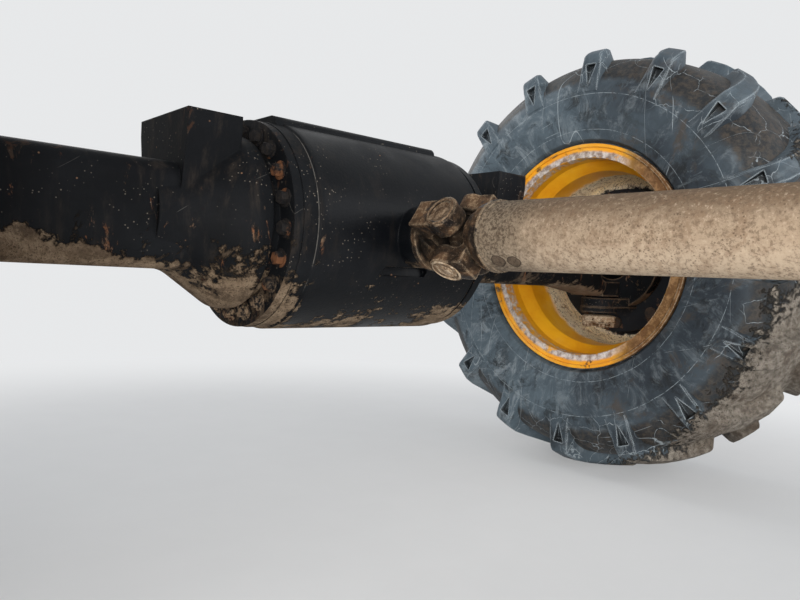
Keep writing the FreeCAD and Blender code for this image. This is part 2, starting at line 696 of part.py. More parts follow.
def make_hub_cover():
    piece = body("hub_cover")
    profile = sketch_on(piece, "hub_cover_profile", "XY_Plane")
    start = SEAT + " + hub_barrel_length"
    edge = start + " + cover_flange_width"
    outline(profile, [
        (start, "0"),
        (start, HUB_BARREL),
        (edge, HUB_BARREL),
        (edge, HUB_BARREL + " - cover_edge", "cover_rounding / 3"),
        (edge + " + cover_height", HUB_BARREL + " - cover_edge - cover_slope", "cover_rounding"),
        (edge + " + cover_height", "cover_plug_radius"),
        (edge + " + cover_height + cover_plug_height", "cover_plug_radius"),
        (edge + " + cover_height + cover_plug_height", "0"),
    ])
    turned(piece, profile)
    return piece


def make_wheel_studs():
    """Studs with head and nut, one solid each, all round the hub."""
    back = HUB_BACK + " - stud_head_height"
    stud = rod("stud", "stud_radius", "stud_head_height + hub_flange_width + disc_width + stud_out",
               (back, "0", STUD_CIRCLE))
    head = rod("stud_head", "stud_head_radius", "stud_head_height", (back, "0", STUD_CIRCLE))
    nut = prism("stud_nut", "nut_radius", "nut_height", (SEAT + " + disc_width", "0", STUD_CIRCLE))
    one = joined("one_stud", [stud, head, nut])
    doc.recompute()
    ring = doc.addObject("Part::Feature", "wheel_studs")
    count = int(round(value("stud_count")))
    turns = [FreeCAD.Rotation(FreeCAD.Vector(1, 0, 0), 360.0 * number / count) for number in range(count)]
    copies = [one.Shape.transformed(FreeCAD.Placement(FreeCAD.Vector(), turn).toMatrix()) for turn in turns]
    ring.Shape = Part.makeCompound(copies)
    return ring


# Wheel: disc and rim, turned about the axle

def make_wheel_disc():
    piece = body("wheel_disc")
    profile = sketch_on(piece, "disc_profile", "XY_Plane")
    edge = RIM_WELL + " - rim_wall"
    outline(profile, [
        (SEAT, HUB_BARREL + " + fit"),
        (SEAT, edge + " - disc_slope"),
        (SEAT + " + disc_dish", edge),
        (SEAT + " + disc_dish + disc_width", edge),
        (SEAT + " + disc_width", edge + " - disc_slope - disc_width * 0.4"),
        (SEAT + " + disc_width", HUB_BARREL + " + fit"),
    ])
    turned(piece, profile)
    holes = sketch_on(piece, "disc_stud_holes", "YZ_Plane", SEAT + " - sink")
    circle(holes, "0", STUD_CIRCLE, "stud_radius + fit")
    hole = pocket(piece, holes, "disc_width + sink * 2", backwards=True)
    repeated(piece, hole, holes, "stud_count")
    return piece


def make_rim():
    piece = body("rim")
    profile = sketch_on(piece, "rim_profile", "XY_Plane")
    # Stations from the rim's middle out to its edge: distance, radius on the tyre's side
    ramp_end = "rim_half_width - rim_seat_width - rim_ramp"
    tyre_side = [
        (ramp_end, RIM_WELL),
        ("rim_half_width - rim_seat_width", "rim_seat_radius"),
        ("rim_half_width", "rim_seat_radius"),
        ("rim_half_width", RIM_EDGE),
        ("rim_half_width + rim_lip", RIM_EDGE),
        ("rim_half_width + rim_lip", RIM_EDGE + " - rim_wall"),
        ("rim_half_width + rim_wall", RIM_EDGE + " - rim_wall"),
        ("rim_half_width + rim_wall", "rim_seat_radius - rim_wall"),
        ("rim_half_width - rim_seat_width - rim_wall / 4", "rim_seat_radius - rim_wall"),
        (ramp_end + " - rim_wall / 4", RIM_WELL + " - rim_wall"),
    ]
    inboard = [("(%s) - (%s)" % (WHEEL, along), radius) for along, radius in tyre_side]
    outboard = [("(%s) + (%s)" % (WHEEL, along), radius) for along, radius in reversed(tyre_side)]
    outline(profile, inboard + outboard)
    turned(piece, profile)
    return piece


# Tyre: flat facets, with lugs raised from the sidewall over the shoulder to the middle

LUG_FOOT = "(tyre_radius - lug_foot_drop)"
CASING = "(tyre_radius - lug_height)"
SIDEWALL = "(%s - %s)" % (LUG_FOOT, RIM_EDGE)
# Rings from the bead to the crown. Columns: beside the tyre's middle, radius, share of the lugs' slant
RINGS = [
    ("rim_half_width - fit", "rim_seat_radius + fit * 3", 0),
    ("rim_half_width - fit", RIM_EDGE + " + rim_wall / 2", 0),
    ("rim_half_width + rim_lip + rim_wall", RIM_EDGE + " + rim_wall", 0),
    ("tyre_half_width * 0.97", RIM_EDGE + " + rim_wall + 0.34 * (%s - rim_wall)" % SIDEWALL, 0),
    ("tyre_half_width", RIM_EDGE + " + rim_wall + 0.67 * (%s - rim_wall)" % SIDEWALL, 0),
    ("tyre_half_width * 0.995", LUG_FOOT, 0),
    ("tread_half_width * 0.93", CASING + " - shoulder_drop * 1.3", 0),
    ("tread_half_width * 0.74", CASING + " - shoulder_drop * 0.52", 0.10),
    ("tread_half_width * 0.42", CASING + " - shoulder_drop * 0.14", 0.42),
    ("lug_nose * 0.4", CASING, 1.0),
]
# A lug's top over the last four rings. Columns: beside the tyre's middle, radius, share of the slant
LUG_TOPS = [
    ("tread_half_width", "tyre_radius - shoulder_drop", 0),
    ("tread_half_width * 0.78", "tyre_radius - shoulder_drop * 0.45", 0.10),
    ("tread_half_width * 0.42", "tyre_radius - shoulder_drop * 0.12", 0.42),
    ("lug_nose", "tyre_radius", 0.92),
]
# Where the slot in a lug's end starts and stops, as shares of the way from foot to shoulder
SLOT_START = 0.15
SLOT_STOP = 0.72


def facet(corners):
    return Part.Face(Part.makePolygon(corners + corners[:1]))


def strip(first, second):
    """Triangles between two closed rings of points, each in order round the axle."""
    faces = []
    for i, point in enumerate(first):
        following = first[(i + 1) % len(first)]
        faces.append(facet([point, following, second[i]]))
        faces.append(facet([following, second[(i + 1) % len(second)], second[i]]))
    return faces


def lug_facets(foot, casing, tops, slot):
    """A lug's end with its slot, its flanks and its top. Points come in (left, right) pairs."""
    left, right = foot
    low_left, low_right = tops[0]
    tip, (slot_left, slot_right), (floor_left, floor_right) = slot
    faces = [
        facet([left, right, tip]),
        facet([left, tip, slot_left, low_left]),
        facet([right, low_right, slot_right, tip]),
        facet([slot_left, slot_right, low_right, low_left]),
        facet([tip, floor_left, slot_left]),
        facet([tip, slot_right, floor_right]),
        facet([tip, floor_right, floor_left]),
        facet([slot_left, floor_left, floor_right]),
        facet([slot_left, floor_right, slot_right]),
    ]
    for side in (0, 1):
        faces.append(facet([foot[side], casing[0][side], tops[0][side]]))
        for row in range(len(tops) - 1):
            faces.append(facet([casing[row][side], casing[row + 1][side], tops[row][side]]))
            faces.append(facet([casing[row + 1][side], tops[row + 1][side], tops[row][side]]))
    for upper, lower in list(zip(tops, tops[1:])) + [(tops[-1], casing[-1])]:
        faces.append(facet([upper[0], upper[1], lower[0]]))
        faces.append(facet([upper[1], lower[1], lower[0]]))
    return faces


def tyre_half(side, phase):
    """Facets of one half of the tyre, its bead's ring and its crown's. side: 1 outboard, -1 inboard."""
    lug_count = int(round(value("lug_count")))
    pitch = math.tau / lug_count
    slant = -math.radians(value("lug_slant"))
    middle = value(WHEEL)
    foot_half = value("lug_foot_half / " + LUG_FOOT)
    top_half = value("lug_top_half / (tyre_radius - shoulder_drop)")
    slot_half = value("lug_slot_half / (tyre_radius - shoulder_drop)")

    def point(beside, radius, turn):
        return FreeCAD.Vector(middle + side * beside, radius * math.cos(turn), radius * math.sin(turn))

    sizes = [(value(beside), value(radius), share * slant) for beside, radius, share in RINGS]
    top_sizes = [(value(beside), value(radius), share * slant) for beside, radius, share in LUG_TOPS]
    rings = []
    for beside, radius, swing in sizes:
        ring = []
        for number in range(lug_count):
            lug = phase + number * pitch + swing
            turns = (lug - foot_half, lug + foot_half, lug + pitch / 2)
            ring += [point(beside, radius, turn) for turn in turns]
        rings.append(ring)
    count = len(rings[0])
    foot_row = len(sizes) - len(top_sizes) - 1
    faces = []
    for row in range(len(rings) - 1):
        for i in range(count):
            j = (i + 1) % count
            corners = [rings[row][i], rings[row][j], rings[row + 1][j], rings[row + 1][i]]
            if row < foot_row:
                faces.append(facet(corners))
            elif i % 3:
                faces.append(facet([corners[0], corners[1], corners[3]]))
                faces.append(facet([corners[1], corners[2], corners[3]]))
    foot_beside, foot_radius = sizes[foot_row][:2]
    top_beside, top_radius = top_sizes[0][:2]
    depth = value("lug_slot_depth")

    def on_end(share, turn, inward=0.0):
        """A point of a lug's flat end, share of the way from its foot to the shoulder."""
        beside = foot_beside + (top_beside - foot_beside) * share - inward
        foot_level = foot_radius * math.cos(foot_half)
        level = foot_level + (top_radius * math.cos(top_half) - foot_level) * share
        return point(beside, level / math.cos(turn - lug), turn)

    for number in range(lug_count):
        lug = phase + number * pitch
        pair = (number * 3, number * 3 + 1)
        foot = [rings[foot_row][i] for i in pair]
        casing = [[ring[i] for i in pair] for ring in rings[foot_row + 1:]]
        tops = [[point(beside, radius, lug + swing + turn) for turn in (-top_half, top_half)]
                for beside, radius, swing in top_sizes]
        mouth = [on_end(SLOT_STOP, lug + turn) for turn in (-slot_half, slot_half)]
        floor = [on_end(SLOT_STOP, lug + turn, depth) for turn in (-slot_half, slot_half)]
        faces += lug_facets(foot, casing, tops, (on_end(SLOT_START, lug), mouth, floor))
    return faces, rings[0], rings[-1]


def make_tyre():
    pitch = math.tau / int(round(value("lug_count")))
    phase = math.radians(value("lug_phase"))
    inboard, inner_bead, inner_crown = tyre_half(-1, phase)
    outboard, outer_bead, outer_crown = tyre_half(1, phase + pitch / 2)
    # Half a pitch apart, so the outboard ring starts one point later
    faces = inboard + outboard + strip(inner_bead, outer_bead[-1:] + outer_bead[:-1])
    faces += strip(inner_crown, outer_crown[-1:] + outer_crown[:-1])
    shell = Part.makeShell(faces)
    shell.sewShape()
    solid = Part.Solid(shell)
    if solid.Volume < 0:
        solid.reverse()
    tyre = doc.addObject("Part::Feature", "tyre")
    tyre.Shape = solid
    return tyre


# Steering cylinder, its clamps and the rod through it

def make_steering():
    barrel = rod("barrel", "cylinder_radius", "cylinder_length",
                 ("-cylinder_length / 2", "cylinder_back", "0"))
    gland = rod("glands", "gland_radius", "cylinder_length + gland_length * 2",
                ("-cylinder_length / 2 - gland_length", "cylinder_back", "0"))
    ports = []
    bores = [rod("rod_bore", "rod_radius + fit", "cylinder_length * 2",
                 ("-cylinder_length", "cylinder_back", "0"))]
    for side, sign in (("left", "-"), ("right", "")):
        at = sign + "port_offset"
        ports.append(rod("port_" + side, "port_radius", "cylinder_radius + port_height",
                         (at, "cylinder_back", "0"), ALONG_Z))
        bores.append(rod("port_bore_" + side, "port_bore", "port_depth + sink",
                         (at, "cylinder_back", "cylinder_radius + port_height - port_depth"), ALONG_Z))
    solid = joined("steer_cylinder_solid", [barrel, gland] + ports)
    cylinder = cut_from("steer_cylinder", solid, joined("steer_cylinder_bores", bores))
    keep(cylinder, "steer_cylinder")

    for side, middle in (("left", "-clamp_offset"), ("right", "clamp_offset")):
        start = middle + " - clamp_width / 2"
        name = "cylinder_clamp_" + side
        grip = rod(name + "_grip", "cylinder_radius + clamp_wall", "clamp_width",
                   (start, "cylinder_back", "0"))
        foot = block(name + "_foot", "clamp_width", "cylinder_back - drum_radius * 0.8",
                     "cylinder_radius * 2 + clamp_wall * 2",
                     (start, "drum_radius * 0.8", "-cylinder_radius - clamp_wall"))
        room = rod(name + "_room", "cylinder_radius + fit", "clamp_width * 2",
                   (middle + " - clamp_width", "cylinder_back", "0"))
        drum = rod(name + "_drum", "drum_radius + fit", "clamp_width * 2",
                   (middle + " - clamp_width", "0", "0"))
        solid = joined(name + "_solid", [grip, foot])
        keep(cut_from(name, solid, joined(name + "_cuts", [room, drum])), name)

    reach = "(cylinder_length / 2 + gland_length + rod_stroke + rod_spare)"
    bar = rod("steer_bar", "rod_radius", reach + " * 2", ("-" + reach, "cylinder_back", "0"))
    ends = []
    for side, start in (("left", "-" + reach), ("right", reach + " - rod_spare / 2")):
        ends.append(rod("rod_end_" + side, "rod_radius + rod_collar", "rod_spare / 2",
                        (start, "cylinder_back", "0")))
    keep(joined("steer_rod", [bar] + ends), "steer_rod")


def make_tie_rod():
    """Right tie rod: inner socket by the steering rod's end, slanted bar, outer socket, stud and nut."""
    inner = rod("tie_inner", "tie_socket_radius", "tie_socket_length", (TIE_START, "cylinder_back", "0"))
    outer = rod("tie_outer", "tie_socket_radius", "tie_socket_height",
                (KINGPIN, "steering_arm", "-arm_plate_top + tie_boot"), ALONG_Z)
    nut_place = (KINGPIN, "steering_arm", "-arm_plate_top - arm_plate - stud_nut_height - fit")
    stud = rod("tie_stud", "tie_stud_radius", "arm_plate + stud_nut_height + tie_boot + fit + sink",
               nut_place, ALONG_Z)
    nut = prism("tie_nut", "stud_nut_radius", "stud_nut_height", nut_place, ALONG_Z)
    run = "((%s) - %s - tie_socket_length / 2)" % (KINGPIN, TIE_START)
    bar = rod("tie_bar", "tie_radius", "sqrt(%s ^ 2 + (cylinder_back - steering_arm) ^ 2)" % run,
              (TIE_START + " + tie_socket_length / 2", "cylinder_back", "0"))
    slant = "atan((cylinder_back - steering_arm) / %s)" % run
    doc.recompute()
    bar.Placement = FreeCAD.Placement(
        bar.Placement.Base, FreeCAD.Rotation(FreeCAD.Vector(0, 0, 1), -value(slant)).multiply(ALONG_X))
    return joined("tie_rod", [inner, outer, stud, nut, bar])


# Propeller shaft: flange yoke, cross, tube with yoke, slip sleeve, second joint and gearbox flange

def open_yoke(piece, name, centre, floor, beyond):
    """Opens a yoke between its ears and bores them for the bearing caps."""
    gap = sketch_on(piece, name + "_gap", "YZ_Plane")
    outline(gap, [
        (floor, "-yoke_inside", "yoke_corner"),
        (beyond, "-yoke_inside"),
        (beyond, "yoke_inside"),
        (floor, "yoke_inside", "yoke_corner"),
    ])
    pocket(piece, gap, "yoke_outside * 4", both_ways=True)
    caps = sketch_on(piece, name + "_caps", "XY_Plane")
    circle(caps, "0", centre, "cap_radius + fit")
    pocket(piece, caps, "yoke_outside * 4", both_ways=True)


def yoke_ears(piece, name, centre, base):
    """Both ears of a yoke before it is opened: a tongue with a round end."""
    tongue = sketch_on(piece, name + "_tongue", "XY_Plane")
    outline(tongue, [
        ("-yoke_half_width", base),
        ("yoke_half_width", base),
        ("yoke_half_width", centre),
        ("-yoke_half_width", centre),
    ])
    pad(piece, tongue, "yoke_outside * 2", both_ways=True)
    ear = sketch_on(piece, name + "_ear", "XY_Plane")
    circle(ear, "0", centre, "yoke_ear_radius")
    pad(piece, ear, "yoke_outside * 2", both_ways=True)


def on_shaft(piece, label, turn):
    """Names a piece of the propeller shaft and turns it about the shaft's axis."""
    piece.Placement = FreeCAD.Placement(FreeCAD.Vector(), FreeCAD.Rotation(FreeCAD.Vector(0, 1, 0), 0.001))
    bind(piece, "Placement.Rotation.Angle", turn)
    return keep(piece, label, "axle_drop + pinion_drop")


def make_flange_yoke(label, joint, towards, turn, bolts):
    """towards is the sign of Y from the joint to the flange."""
    piece = body(label)
    centre = "-(%s)" % joint
    back = "%s %s yoke_flange_back" % (centre, towards)
    front = "%s %s (yoke_flange_back - yoke_flange_width)" % (centre, towards)
    floor = "%s %s (yoke_flange_back - yoke_flange_width + yoke_recess)" % (centre, towards)
    disc = sketch_on(piece, label + "_disc", "XY_Plane")
    corners = [
        ("0", back),
        ("yoke_flange_radius", back),
        ("yoke_flange_radius", front),
        ("yoke_flange_radius - yoke_face_ring", front),
        ("yoke_flange_radius - yoke_face_ring - yoke_recess", floor),
        ("0", floor),
    ]
    outline(disc, corners)
    turned(piece, disc, "V_Axis")
    yoke_ears(piece, label, centre, floor)
    opposite = "-" if towards == "+" else "+"
    open_yoke(piece, label, centre, "%s %s yoke_floor" % (centre, towards),
              "%s %s yoke_floor" % (centre, opposite))
    if bolts:
        holes = sketch_on(piece, label + "_bolts", "XZ_Plane", joint + " + yoke_flange_back")
        for number in range(4):
            bolt = "gearbox_bolt_circle * %s(45 + 90 * %d)"
            circle(holes, bolt % ("cos", number), bolt % ("sin", number), "gearbox_bolt_radius")
        pocket(piece, holes, "yoke_flange_width * 2")
    else:
        stub_start = joint + " - yoke_flange_back + sink"
        stub = sketch_on(piece, label + "_stub", "XZ_Plane", stub_start)
        circle(stub, "0", "0", "seal_radius")
        pad(piece, stub, stub_start + " - nose_front + seal_depth", backwards=True)
    return on_shaft(piece, label, turn)


def make_tube_yoke(label, joint, towards, turn, end_radius, neck_end):
    """A yoke whose neck widens to the tube or narrows to the splined shaft."""
    piece = body(label)
    centre = "-(%s)" % joint
    floor = "%s %s yoke_floor" % (centre, towards)
    shoulder = "%s %s (yoke_floor + neck_step)" % (centre, towards)
    collar = "%s %s (%s - neck_collar)" % (centre, towards, neck_end)
    end = "%s %s (%s)" % (centre, towards, neck_end)
    neck = sketch_on(piece, label + "_neck", "XY_Plane")
    outline(neck, [
        ("0", floor),
        ("neck_radius", floor),
        ("neck_radius + neck_flare", shoulder),
        (end_radius, collar),
        (end_radius, end),
        ("0", end),
    ])
    turned(piece, neck, "V_Axis")
    yoke_ears(piece, label, centre, shoulder)
    opposite = "-" if towards == "+" else "+"
    open_yoke(piece, label, centre, floor, "%s %s yoke_floor" % (centre, opposite))
    return on_shaft(piece, label, turn)


def make_cross(label, joint, turn):
    """The cross with its four bearing caps."""
    centre = "-(%s)" % joint
    cap_end = "(yoke_outside - cap_recess)"
    solids = [ball(label + "_heart", "cross_heart_radius", ("0", centre, "0"))]
    cap_length = cap_end + " - yoke_inside + cap_inside"
    for name, rotation, along in (("x", ALONG_X, 0), ("z", ALONG_Z, 2)):
        for part, radius, start, length in (
            ("journal", "cross_radius", "-" + cap_end, cap_end + " * 2"),
            ("cap_a", "cap_radius", "-" + cap_end, cap_length),
            ("cap_b", "cap_radius", "yoke_inside - cap_inside", cap_length),
        ):
            at = ["0", centre, "0"]
            at[along] = start
            solids.append(rod("%s_%s_%s" % (label, part, name), radius, length, at, rotation))
    return on_shaft(joined(label, solids), label, turn)


def make_propeller_shaft():
    make_flange_yoke("pinion_yoke", "joint_front", "+", "joint_turn", bolts=False)
    make_cross("cross_axle_end", "joint_front", "joint_turn")
    make_tube_yoke("tube_yoke", "joint_front", "-", "joint_turn + 90", "tube_radius", "tube_start")
    tube = rod("shaft_tube_bar", "tube_radius", TUBE_LENGTH, ("0", TUBE_END, "0"), ALONG_Y)
    weld = rod("shaft_tube_weld", "weld_ring_radius", "weld_ring_width",
               ("0", "-joint_front - tube_start - weld_ring_width", "0"), ALONG_Y)
    hollow = rod("shaft_tube_hollow", "tube_radius - tube_wall", TUBE_LENGTH + " + sink * 2",
                 ("0", TUBE_END + " - sink", "0"), ALONG_Y)
    tube = cut_from("shaft_tube", joined("shaft_tube_solid", [tube, weld]), hollow)
    on_shaft(tube, "shaft_tube", "joint_turn")

    sleeve = body("slip_sleeve")
    profile = sketch_on(sleeve, "sleeve_profile", "XY_Plane")
    sleeve_end = TUBE_END + " - sleeve_length"
    outline(profile, [
        ("spline_radius + fit", TUBE_END + " + sleeve_plug"),
        ("tube_radius - tube_wall - fit", TUBE_END + " + sleeve_plug"),
        ("tube_radius - tube_wall - fit", TUBE_END),
        ("tube_radius", TUBE_END),
        ("sleeve_radius", TUBE_END + " - sleeve_taper"),
        ("sleeve_radius", sleeve_end + " + sleeve_cap_length"),
        ("sleeve_cap_radius", sleeve_end + " + sleeve_cap_length"),
        ("sleeve_cap_radius", sleeve_end),
        ("spline_radius + fit", sleeve_end),
    ])
    turned(sleeve, profile, "V_Axis")
    on_shaft(sleeve, "slip_sleeve", "joint_turn")

    spline = body("spline_shaft")
    bar = sketch_on(spline, "spline_profile", "XZ_Plane", "-" + TUBE_END)
    circle(bar, "0", "0", "spline_radius")
    pad(spline, bar, "sleeve_length + spline_shown")
    on_shaft(spline, "spline_shaft", "joint_turn")
    make_tube_yoke("slip_yoke", SECOND_JOINT, "+", "joint_turn + 90",
                   "spline_radius + slip_wall", "slip_neck")
    make_cross("cross_gearbox_end", SECOND_JOINT, "joint_turn")
    make_flange_yoke("gearbox_flange", SECOND_JOINT, "-", "joint_turn", bolts=True)


make_centre_housing()
keep(make_arm("right", "drum_right"), "arm_right")
left_arm = make_arm("left", "drum_left")
bind(left_arm, "Placement.Base.z", "-axle_drop")
mirrored(left_arm, "arm_left")
make_steering()

# Right-hand pieces that the left side repeats in mirror image
for label, piece in (
    ("drive_joint", make_drive_joint()),
    ("knuckle", make_knuckle()),
    ("kingpin_upper", make_kingpin("upper")),
    ("kingpin_lower", make_kingpin("lower")),
    ("tie_rod", make_tie_rod()),
    ("hub", make_hub()),
    ("hub_cover", make_hub_cover()),
    ("wheel_studs", make_wheel_studs()),
    ("wheel_disc", make_wheel_disc()),
    ("rim", make_rim()),
    ("tyre", make_tyre()),
):
    keep(piece, label + "_right")
    mirrored(piece, label + "_left")

make_propeller_shaft()
doc.recompute()

# Every object is sound before anything is written
for item in doc.Objects:
    if "Invalid" in item.State or "Error" in item.State:
        raise RuntimeError("%s (%s) failed: %s" % (item.Name, item.Label, item.getStatusString()))
for item in sub_parts:
    if item.Shape.isNull() or not item.Shape.isValid() or not item.Shape.Solids:
        raise RuntimeError("%s has no valid solid" % item.Label)

os.makedirs("parts", exist_ok=True)
for item in sub_parts:
    item.Shape.exportStep("parts/%s.step" % item.Label)
    print("%-24s %2d solid %10.0f mm3" % (item.Label, len(item.Shape.Solids), item.Shape.Volume))
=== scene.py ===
import math
import random

import bpy
from mathutils import Matrix, Vector, noise


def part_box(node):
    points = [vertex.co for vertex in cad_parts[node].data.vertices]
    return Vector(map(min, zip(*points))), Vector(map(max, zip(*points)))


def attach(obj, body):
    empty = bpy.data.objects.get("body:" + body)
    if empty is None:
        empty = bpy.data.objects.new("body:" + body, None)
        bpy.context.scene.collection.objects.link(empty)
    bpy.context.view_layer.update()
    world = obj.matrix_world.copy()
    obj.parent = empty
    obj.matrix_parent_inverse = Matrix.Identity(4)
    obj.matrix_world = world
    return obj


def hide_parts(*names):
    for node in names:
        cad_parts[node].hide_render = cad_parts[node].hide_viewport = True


# Steering drive axle of a site dumper: finish, tyres, bolts and dirt on the fixed frame.
# Metres, +Z up, +X along the axle to the right wheel, -Y along the propeller shaft.

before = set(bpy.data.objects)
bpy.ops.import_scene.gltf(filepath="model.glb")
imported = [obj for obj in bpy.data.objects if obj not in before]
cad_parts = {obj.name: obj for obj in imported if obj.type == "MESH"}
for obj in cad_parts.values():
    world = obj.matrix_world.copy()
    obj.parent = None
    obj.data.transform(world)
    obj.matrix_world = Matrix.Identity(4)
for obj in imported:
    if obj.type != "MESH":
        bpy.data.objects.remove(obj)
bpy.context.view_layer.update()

# Places and sizes that the pieces share
AXLE_Z = -0.150
SHAFT_Z = AXLE_Z - 0.006
GROUND_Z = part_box("tyre_right")[0][2]
SIDES = {"left": -1.0, "right": 1.0}
WHEEL_X = 0.880
VALVE_X = WHEEL_X + 0.128
KINGPIN_X = 0.810
# Height of the knuckle's flange and of its boss over the axle's line
KINGPIN_FLANGE = 0.140
KINGPIN_BOSS = 0.154
# The joints' places along the shaft, their turn about it, and a bearing cap's distance from it
JOINTS = [-0.264, -0.998]
JOINT_TURN = math.radians(-57.5)
CAP_FACE = 0.0640
# Oil ports on the steering cylinder
PORT_X = 0.128
PORT_Y = 0.215
# Ends of the drum, and the weld seam beside the left one
DRUM_LEFT = 0.228
DRUM_RIGHT = 0.160
SEAM_X = -0.203

# The photograph's camera, fitted to rim, drum, arms and shaft. Angles in degrees
CAMERA_PLACE = (-0.7894, -1.0062, -0.2230)
CAMERA_YAW = 48.193
CAMERA_PITCH = -1.876
CAMERA_ROLL = 2.675
CAMERA_FOCUS_PX = 694.55
IMAGE_WIDTH_PX = 800.0
SENSOR_MM = 36.0
CLIP_START = 0.01

# Lamps: name, place, target, diameter, power, colour
LAMPS = [
    ("key", (-3.4, -2.5, 1.1), (0.1, 0, -0.2), 2.6, 95, (1.0, 0.98, 0.95)),
    ("fill", (2.6, -3.4, 0.9), (0.3, 0, -0.2), 3.0, 60, (0.95, 0.97, 1.0)),
    ("back", (0.6, 3.6, 2.0), (0, 0, -0.2), 2.6, 60, (1.0, 1.0, 1.0)),
    ("low", (-1.7, -2.5, -0.40), (0.4, 0, -0.25), 1.5, 85, (1.0, 0.97, 0.93)),
]
SKY_LIGHT = (0.86, 0.92, 1.0)
SKY_STRENGTH = 0.38
FLOOR_HALF = 12.0

# Colours, linear
BACKDROP = (0.80, 0.81, 0.82)
FLOOR_DULL = (0.68, 0.675, 0.665)
FLOOR_PALE = (0.74, 0.735, 0.725)
MUD_PALE = (0.27, 0.20, 0.135)
MUD_MID = (0.135, 0.095, 0.062)
MUD_DARK = (0.042, 0.030, 0.020)
RIM_MUD = (0.45, 0.31, 0.18)
RIM_MUD_PALE = (1.0, 0.88, 0.66)
RUST = (0.15, 0.062, 0.028)
BLACK_PAINT = (0.0028, 0.0034, 0.0044)
BLACK_WORN = (0.009, 0.0102, 0.012)
YELLOW = (1.0, 0.50, 0.016)
YELLOW_DEEP = (0.86, 0.34, 0.008)
RUBBER = (0.024, 0.032, 0.041)
RUBBER_PALE = (0.100, 0.135, 0.162)
RUBBER_DARK = (0.010, 0.011, 0.012)
CHALK = (0.36, 0.41, 0.44)


# Camera, light and floor

def camera_axes():
    """Right, up and forward of the camera from its three angles."""
    yaw, pitch, roll = (math.radians(a) for a in (CAMERA_YAW, CAMERA_PITCH, CAMERA_ROLL))
    forward = Vector((math.cos(yaw) * math.cos(pitch), math.sin(yaw) * math.cos(pitch), math.sin(pitch)))
    level = Vector((math.sin(yaw), -math.cos(yaw), 0.0))
    upright = level.cross(forward)
    right = level * math.cos(roll) + upright * math.sin(roll)
    up = upright * math.cos(roll) - level * math.sin(roll)
    return right, up, forward


def make_camera():
    data = bpy.data.cameras.new("camera")
    data.sensor_width = SENSOR_MM
    data.lens = CAMERA_FOCUS_PX / IMAGE_WIDTH_PX * SENSOR_MM
    data.clip_start = CLIP_START
    camera = bpy.data.objects.new("camera", data)
    right, up, forward = camera_axes()
    turn = Matrix((right, up, -forward)).transposed().to_4x4()
    camera.matrix_world = Matrix.Translation(CAMERA_PLACE) @ turn
    bpy.context.collection.objects.link(camera)
    bpy.context.scene.camera = camera


def make_lamp(name, place, target, diameter, power, colour):
    data = bpy.data.lights.new(name, "AREA")
    data.shape = "DISK"
    data.size = diameter
    data.energy = power
    data.color = colour
    lamp = bpy.data.objects.new(name, data)
    lamp.location = place
    lamp.rotation_euler = (Vector(target) - Vector(place)).to_track_quat("-Z", "Y").to_euler()
    bpy.context.collection.objects.link(lamp)


def backdrop_rays(tree):
    """1 for the rays that show the pale backdrop: camera, glossy and transmission."""
    path = tree.nodes.new("ShaderNodeLightPath")
    shown = path.outputs["Is Camera Ray"]
    for ray in ("Is Glossy Ray", "Is Transmission Ray"):
        wider = tree.nodes.new("ShaderNodeMath")
        wider.operation = "MAXIMUM"
        tree.links.new(shown, wider.inputs[0])
        tree.links.new(path.outputs[ray], wider.inputs[1])
        shown = wider.outputs[0]
    return shown


def make_world():
    """A bluish light from all round, and the pale backdrop where rays show it."""
    world = bpy.data.worlds.new("studio")
    bpy.context.scene.world = world
    world.use_nodes = True
    tree = world.node_tree
    tree.nodes.clear()
    out = tree.nodes.new("ShaderNodeOutputWorld")
    pick = tree.nodes.new("ShaderNodeMixShader")
    tree.links.new(backdrop_rays(tree), pick.inputs[0])
    for number, colour, strength in ((1, SKY_LIGHT, SKY_STRENGTH), (2, BACKDROP, 1.0)):
        light = tree.nodes.new("ShaderNodeBackground")
        light.inputs["Color"].default_value = (*colour, 1)
        light.inputs["Strength"].default_value = strength
        tree.links.new(light.outputs[0], pick.inputs[number])
    tree.links.new(pick.outputs[0], out.inputs["Surface"])


def make_studio():
    bpy.context.scene.view_settings.view_transform = "Standard"
    make_world()
    for lamp in LAMPS:
        make_lamp(*lamp)
    corners = [(-1, -1), (1, -1), (1, 1), (-1, 1)]
    floor = mesh_object("floor", [(FLOOR_HALF * x, FLOOR_HALF * y, GROUND_Z) for x, y in corners],
                        [(0, 1, 2, 3)])
    floor.data.materials.append(plain_floor())


# Node helpers

